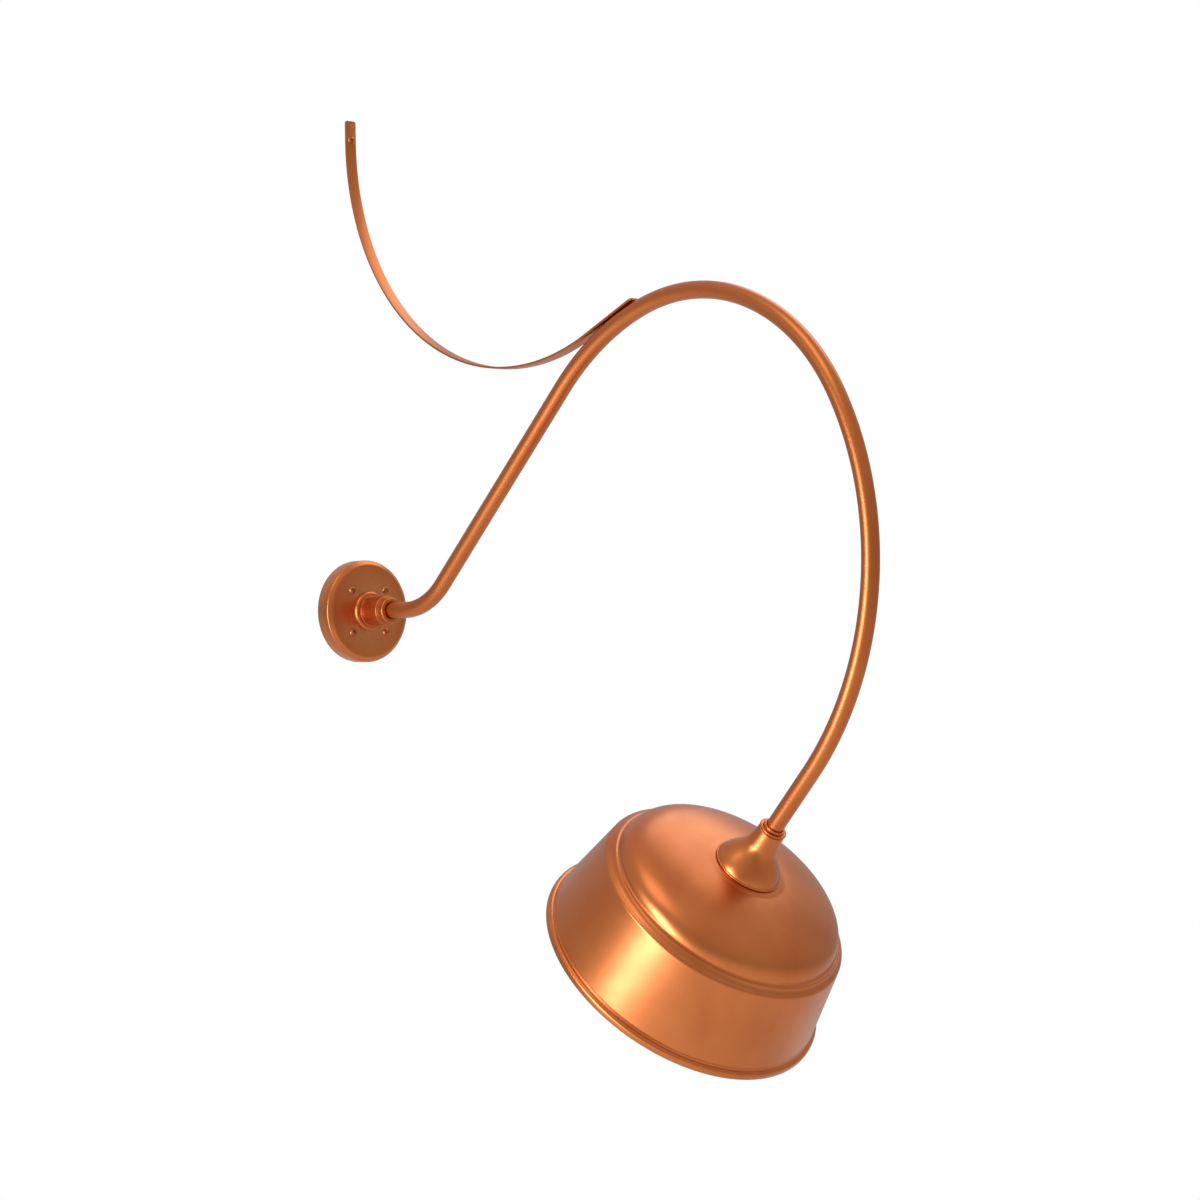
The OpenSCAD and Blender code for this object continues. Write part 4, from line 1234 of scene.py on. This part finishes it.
@dataclass
class Thread:
    """The round thread that the bulb's base and the screw shell share.

    Attributes:
        pitch: Rise for each turn, in millimetres.
        depth: Height of the wave.
        phase_z: Height in the lamp's frame at which a crest faces along X.
        fade_l: Length over which the thread rises and fades.
    """

    pitch: float = 3.63
    depth: float = 1.15
    phase_z: float = 0.0
    fade_l: float = 2.0

    def drop(self, angle: float, height: float, start: float, end: float) -> float:
        """Depth below the crest, which fades out at both ends.

        Args:
            angle: Turn round the axis, in radians.
            height: Height in the lamp's frame.
            start: Height at which the thread starts.
            end: Height at which it ends.

        Returns:
            A depth from 0 to the thread's whole depth.
        """
        wave = 0.5 - 0.5 * math.cos(TURN * (height - self.phase_z) / self.pitch - angle)
        rise = min(1.0, max(0.0, (height - start) / self.fade_l))
        return self.depth * wave * rise * min(1.0, max(0.0, (end - height) / self.fade_l))


@dataclass
class Socket:
    """The porcelain lampholder with its screw shell, contact and terminals."""

    place: Place
    thread: Thread
    floor_z: float = 82.2
    base_z: float = 69.7
    flange_d: float = 56.0
    flange_t: float = 6.0
    barrel_d: float = 40.0
    length: float = 43.5
    depth: float = 31.0
    socket_r: float = 14.0
    shell_r: float = 13.15
    shell_t: float = 0.5
    screw_gap: float = 47.0
    screw_r: float = 2.0
    head_r: float = 3.6
    head_sink: float = 2.2
    terminal_y: tuple[float, float] = (-6.0, 10.0)
    terminal_r: float = 1.75

    def at(self, height: float) -> Place:
        """The lamp's axis from a height on."""
        return self.place.moved(0, 0, height)

    def porcelain(self) -> Object:
        """The glazed body with its screw and terminal holes."""
        here = self.at(self.base_z)
        body = turned("lampholder_glazed", rounded([
            (0, 0, 0), (self.flange_d / 2, 0, 0.3), (self.flange_d / 2, self.flange_t, 2.4),
            (self.barrel_d / 2 + 0.8, self.flange_t, 2.4), (self.barrel_d / 2, self.length, 2.2),
            (self.socket_r, self.length, 1), (self.socket_r, self.length - self.depth, 0),
            (0, self.length - self.depth, 0)
        ], 8), here, steps=128, closed=False)
        ends = (self.screw_gap / 2, -self.screw_gap / 2)
        floor = self.length - self.depth
        for radius, places, height, length in ((self.screw_r, ends, self.flange_t / 2, 14),
                                               (self.head_r, ends, self.flange_t - self.head_sink + 4, 8),
                                               (self.terminal_r, self.terminal_y, floor / 2, floor + 2)):
            bore(body, radius, [here.spot(0, y, height) for y in places], here.axis(), length)
        return body

    def shell(self) -> Object:
        """The pressed screw shell, whose wave follows the bulb's thread."""
        start = self.floor_z + 3.0
        end = self.floor_z + self.depth - 3.4
        rows = heights(self.floor_z + self.shell_t + 0.8, self.floor_z + self.depth - 2)
        inner = [(self.shell_r, row) for row in rows]
        outer = [(self.shell_r + self.shell_t, row) for row in reversed(rows)]
        floor = [(self.shell_r + self.shell_t - 0.7, self.floor_z), (9.0, self.floor_z),
                 (9.0, self.floor_z + self.shell_t), (self.shell_r - 0.8, self.floor_z + self.shell_t)]

        def swell(angle: float, height: float) -> float:
            """Inward wave of the shell's wall."""
            return -self.thread.drop(angle, height, start, end)

        return turned("screw_shell_pressed", [*inner, *outer, *floor], self.at(0), steps=96, swell=swell)

    def build(self, nodes: dict[str, Object]) -> None:
        """Makes the body and the shell, and dresses the rest."""
        wear_piece(self.porcelain(), Finish.GLAZE, "lampholder")
        wear_piece(self.shell(), Finish.BRASS, "screw_shell")
        dress(nodes, {"lampholder_screws": Finish.ZINC, "terminal_screws": Finish.BRASS,
                      "centre_contact": Finish.BRASS})


@dataclass
class Bulb:
    """The screw-in bulb with its filaments."""

    socket: Socket
    thread: Thread
    base_d: float = 26.2
    base_l: float = 20.0
    base_z: float = 93.55
    glass_d: float = 60.0
    glass_l: float = 82.0
    wall: float = 0.9
    sheet: float = 0.5
    fillet_r: float = 34.0
    stem_gap: float = 0.3
    stem_shoulder: float = 9.0
    stem_tip: tuple[float, float] = (4.0, 2.0)

    @property
    def glass_z(self) -> float:
        """Height of the glass's foot in the lamp's frame."""
        return self.base_z + self.base_l

    @property
    def ball_z(self) -> float:
        """Height of the ball's centre above the glass's foot."""
        return self.glass_l - self.glass_d / 2

    def base(self) -> Object:
        """The pressed base with its rolled thread."""
        crest = self.base_d / 2
        start = self.base_z + 2.2
        end = self.glass_z - 1.4
        rows = heights(start, self.glass_z)
        outer = [(crest - 2.6, self.base_z), (crest - 1.4, self.base_z + 0.9),
                 *[(crest, row) for row in rows]]
        inner = [*[(crest - self.sheet, row) for row in reversed(rows)],
                 (crest - 1.4 - self.sheet, self.base_z + 1.3), (crest - 2.6 - self.sheet, self.base_z + 0.4)]

        def swell(angle: float, height: float) -> float:
            """Wave of the rolled thread."""
            return -self.thread.drop(angle, height, start, end)

        return turned("bulb_base_pressed", [*outer, *inner], self.socket.at(0), steps=96, swell=swell)

    def glass(self) -> Object:
        """The blown envelope, a ball on a neck."""
        neck = self.base_d / 2 + 0.9
        ball = self.glass_d / 2
        join_deg = math.degrees(math.acos((neck + self.fillet_r) / (ball + self.fillet_r)))
        fillet_z = self.ball_z - (ball + self.fillet_r) * math.sin(math.radians(join_deg))
        line = [(neck - 1, 0), (neck, 1), *arc((neck + self.fillet_r, fillet_z), self.fillet_r, 180,
                                               180 - join_deg, 18),
                *arc((0, self.ball_z), ball, -join_deg + 2, 88, 48)]
        outline = [*line, (0, self.glass_l), (0, self.glass_l - self.wall), *reversed(inset(line, self.wall))]
        return turned("bulb_glass_blown", outline, self.socket.at(self.glass_z), steps=128)

    def stem(self) -> Object:
        """The glass stem inside the envelope."""
        wide = self.base_d / 2 - self.sheet
        low, high = self.stem_tip
        top = self.ball_z - 4
        return turned("bulb_stem_drawn", rounded([
            (0, 0, 0), (wide - 3, 0, 0), (wide - self.stem_gap, 3, 1),
            (wide - self.stem_gap, self.base_l - 2, 1), (low, self.base_l + self.stem_shoulder, 3),
            (high, self.base_l + top, 1), (0, self.base_l + top, 0)
        ], 6), self.socket.at(self.base_z), steps=64, closed=False)

    def build(self, nodes: dict[str, Object]) -> None:
        """Makes the base, glass and stem, and dresses the filaments and contacts."""
        wear_piece(self.base(), Finish.BRASS, "bulb_base", Body.BULB)
        wear_piece(self.glass(), Finish.BULB_GLASS, "bulb_glass", Body.BULB)
        wear_piece(self.stem(), Finish.STEM_GLASS, "bulb_stem", Body.BULB)
        dress(nodes, {"bulb_filaments": Finish.FILAMENT, "bulb_contact": Finish.SOLDER,
                      "bulb_insulator": Finish.BLACK_GLASS})


@dataclass
class Wiring:
    """The three wires and their twist-on connectors behind the canopy."""

    back_x: float = 15.5
    turn_r: float = 5.0
    reach: float = 23.9393
    gap: float = 3.4
    length: float = 20.0
    mouth_d: float = 11.4
    wire_r: float = 1.35
    grip: float = 8.0
    ribs: int = 16
    rib_depth: float = 0.35
    ways: tuple[tuple[int, float], ...] = ((-1, 15.0), (1, -15.0), (0, 180.0))

    def connector(self, side: int, way: float) -> Object:
        """One ribbed connector on its wire."""
        half = self.mouth_d / 2
        hole = self.wire_r + THREAD_GAP

        def ribbed(angle: float, height: float) -> float:
            """Shallow grooves for the fingers."""
            if height < 4 or height > self.length - 1.4:
                return 0.0
            return -self.rib_depth * (0.5 - 0.5 * math.cos(self.ribs * angle))

        outline = rounded([(hole, 0, 0), (half, 0, 0.8), (half - 0.5, 4.2, 0.3),
                           (half - 1.6, self.length, 2.4), (0, self.length, 0)], 5)
        outline = [*outline, (0, self.grip), (hole, self.grip)]
        thick = turned("connector", outline, Place((0, 0, 0), 0), steps=96, swell=ribbed)
        turn = Euler((math.radians(way), 0, 0)).to_matrix().to_4x4()
        base = Matrix.Translation(Vector((self.back_x, side * self.gap, 0)) * MM)
        thick.matrix_world = base @ turn @ Matrix.Translation(Vector((-self.turn_r, 0, self.reach)) * MM)
        return thick

    def build(self, nodes: dict[str, Object]) -> None:
        """Makes the connectors and dresses the wires."""
        made = [self.connector(side, way) for side, way in self.ways]
        wear_piece(join(made, "connectors_ribbed"), Finish.CONNECTOR, "wire_connectors")
        dress(nodes, {"line_wire": Finish.BLACK_SHEATH, "neutral_wire": Finish.WHITE_SHEATH,
                      "ground_wire": Finish.GREEN_SHEATH})


@dataclass
class Viewpoint:
    """The camera, set to the photograph's view."""

    azimuth: float = 46.72
    elevation: float = -0.17
    roll: float = -1.01
    distance: float = 3632.45
    target: tuple[float, float, float] = (482.87, 0.0, -48.19)
    lens: float = 89.11
    sensor_w: float = 36.0
    clip_end: float = 60.0
    shift: tuple[float, float] = (-0.0045, 0.0353)

    def build(self) -> None:
        """Makes the camera and gives it to the scene."""
        turn = math.radians(self.azimuth)
        rise = math.radians(self.elevation)
        back = Vector((math.sin(turn) * math.cos(rise), -math.cos(turn) * math.cos(rise), math.sin(rise)))
        right = Vector((math.cos(turn), math.sin(turn), 0))
        up = back.cross(right)
        spin = math.radians(self.roll)
        across = right * math.cos(spin) + up * math.sin(spin)
        over = up * math.cos(spin) - right * math.sin(spin)
        spot = (Vector(self.target) + back * self.distance) * MM
        camera = bpy.data.cameras.new("camera")
        camera.sensor_width = self.sensor_w
        camera.lens = self.lens
        camera.shift_x, camera.shift_y = self.shift
        camera.clip_end = self.clip_end
        holder = bpy.data.objects.new("camera", camera)
        turned_axes = Matrix((across, over, back)).transposed().to_4x4()
        holder.matrix_world = Matrix.Translation(spot) @ turned_axes
        bpy.context.scene.collection.objects.link(holder)
        bpy.context.scene.camera = holder


@dataclass(frozen=True)
class Softbox:
    """A square of soft light that faces the lamp.

    Attributes:
        name: Name of the light.
        place: Where it stands, in metres.
        size: Width and height, in metres.
        power: Its power in watts.
        aim: The point that it faces.
        tint: Its colour.
    """

    name: str
    place: tuple[float, float, float]
    size: Point
    power: float
    aim: tuple[float, float, float] = (0.55, 0.0, 0.0)
    tint: tuple[float, float, float] = (1.0, 1.0, 1.0)

    def build(self) -> None:
        """Adds the light."""
        light = bpy.data.lights.new(self.name, "AREA")
        light.shape = "RECTANGLE"
        light.size, light.size_y = self.size
        light.energy = self.power
        light.color = self.tint
        holder = bpy.data.objects.new(self.name, light)
        holder.location = self.place
        facing = Vector(self.aim) - Vector(self.place)
        holder.rotation_euler = facing.to_track_quat("-Z", "Y").to_euler()
        bpy.context.scene.collection.objects.link(holder)


@dataclass
class Studio:
    """A white studio: a pale floor below the lamp, soft lights and a plain white world."""

    floor_z: float = -1.3
    floor_half: float = 9.0
    floor_glow: float = 0.99
    low_light: float = 0.15
    high_light: float = 0.68
    softboxes: tuple[Softbox, ...] = (
        Softbox("left_softbox", (0.62, -2.65, -0.3), (1.0, 1.8), 60.0, (0.68, -0.15, -0.4),
                (0.70, 0.82, 1.0)),
        Softbox("top_softbox", (0.28, 1.7, 2.1), (2.0, 1.6), 13.0, (0.67, 0.0, -0.28), (0.84, 0.94, 1.0)),
        Softbox("front_softbox", (1.2, -1.6, 2.6), (1.6, 1.6), 12.0),
    )

    def seen(self, graph: Graph) -> NodeSocket:
        """1 for what the camera sees directly or through glass."""
        path = graph.add("LightPath")
        return graph.math("MAXIMUM", path.outputs["Is Camera Ray"], path.outputs["Is Transmission Ray"])

    def world(self) -> None:
        """White to the camera, and as a light softer and darker towards the floor."""
        world = bpy.data.worlds.new("studio")
        world.use_nodes = True
        bpy.context.scene.world = world
        graph = Graph(world.node_tree)
        back = world.node_tree.nodes["Background"]
        height = graph.parts(graph.add("TexCoord").outputs["Generated"])[2]
        soft = graph.range(height, -1, 1, self.low_light, self.high_light)
        strength = graph.range(self.seen(graph), 0, 1, soft, 1.0)
        graph.fill(back, {"Color": (1.0, 1.0, 1.0), "Strength": strength})

    def floor(self) -> None:
        """A pale floor that keeps the lamp's shadow, and is clear when it is seen from below."""
        data = bmesh.new()
        bmesh.ops.create_grid(data, x_segments=24, y_segments=24, size=self.floor_half)
        for vert in data.verts:
            vert.co.z = self.floor_z
        floor = finish_mesh("studio_floor", data)
        material, graph, shader = new_material("Pale floor")
        graph.fill(shader, {"Base Color": (0.86, 0.86, 0.86), "Roughness": 0.9})
        glow = graph.add("Emission", {"Color": (1.0, 1.0, 1.0), "Strength": 1.0}).outputs[0]
        share = graph.math("MULTIPLY", self.seen(graph), self.floor_glow)
        lit = graph.add("MixShader", {0: share, 1: shader.outputs[0], 2: glow}).outputs[0]
        sight = graph.parts(graph.add("NewGeometry").outputs["Incoming"])[2]
        clear = graph.add("BsdfTransparent").outputs[0]
        below = graph.add("MixShader", {0: graph.math("LESS_THAN", sight, 0.0), 1: lit, 2: clear}).outputs[0]
        graph.fill(material.node_tree.nodes["Material Output"], {"Surface": below})
        floor.data.materials.append(material)

    def build(self) -> None:
        """Sets the world, the floor and the lights."""
        bpy.context.scene.view_settings.view_transform = "Standard"
        self.world()
        self.floor()
        for softbox in self.softboxes:
            softbox.build()


def main() -> None:
    """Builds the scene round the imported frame."""
    logging.basicConfig(level=logging.INFO, format="%(name)s %(message)s")
    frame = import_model()
    nodes = frame["nodes"]
    Viewpoint().build()
    Studio().build()

    canopy = Canopy()
    canopy.build(nodes)
    Hub(canopy.face_x).build(nodes)
    arm = Arm()
    brace = Brace(arm)
    brace.build(nodes)
    arm.build(brace.screw_pose(), brace.arm_thread_r)
    end = arm.end()
    lamp = Place((end.x, 0, end.z), 90 - end.heading)
    Neck(lamp).build()
    thread = Thread()
    socket = Socket(lamp, thread)
    Shade(socket.at(67.0)).build(nodes)
    socket.build(nodes)
    Bulb(socket, thread).build(nodes)
    Wiring().build(nodes)

    bpy.context.view_layer.update()


if __name__ == "__main__":
    main()
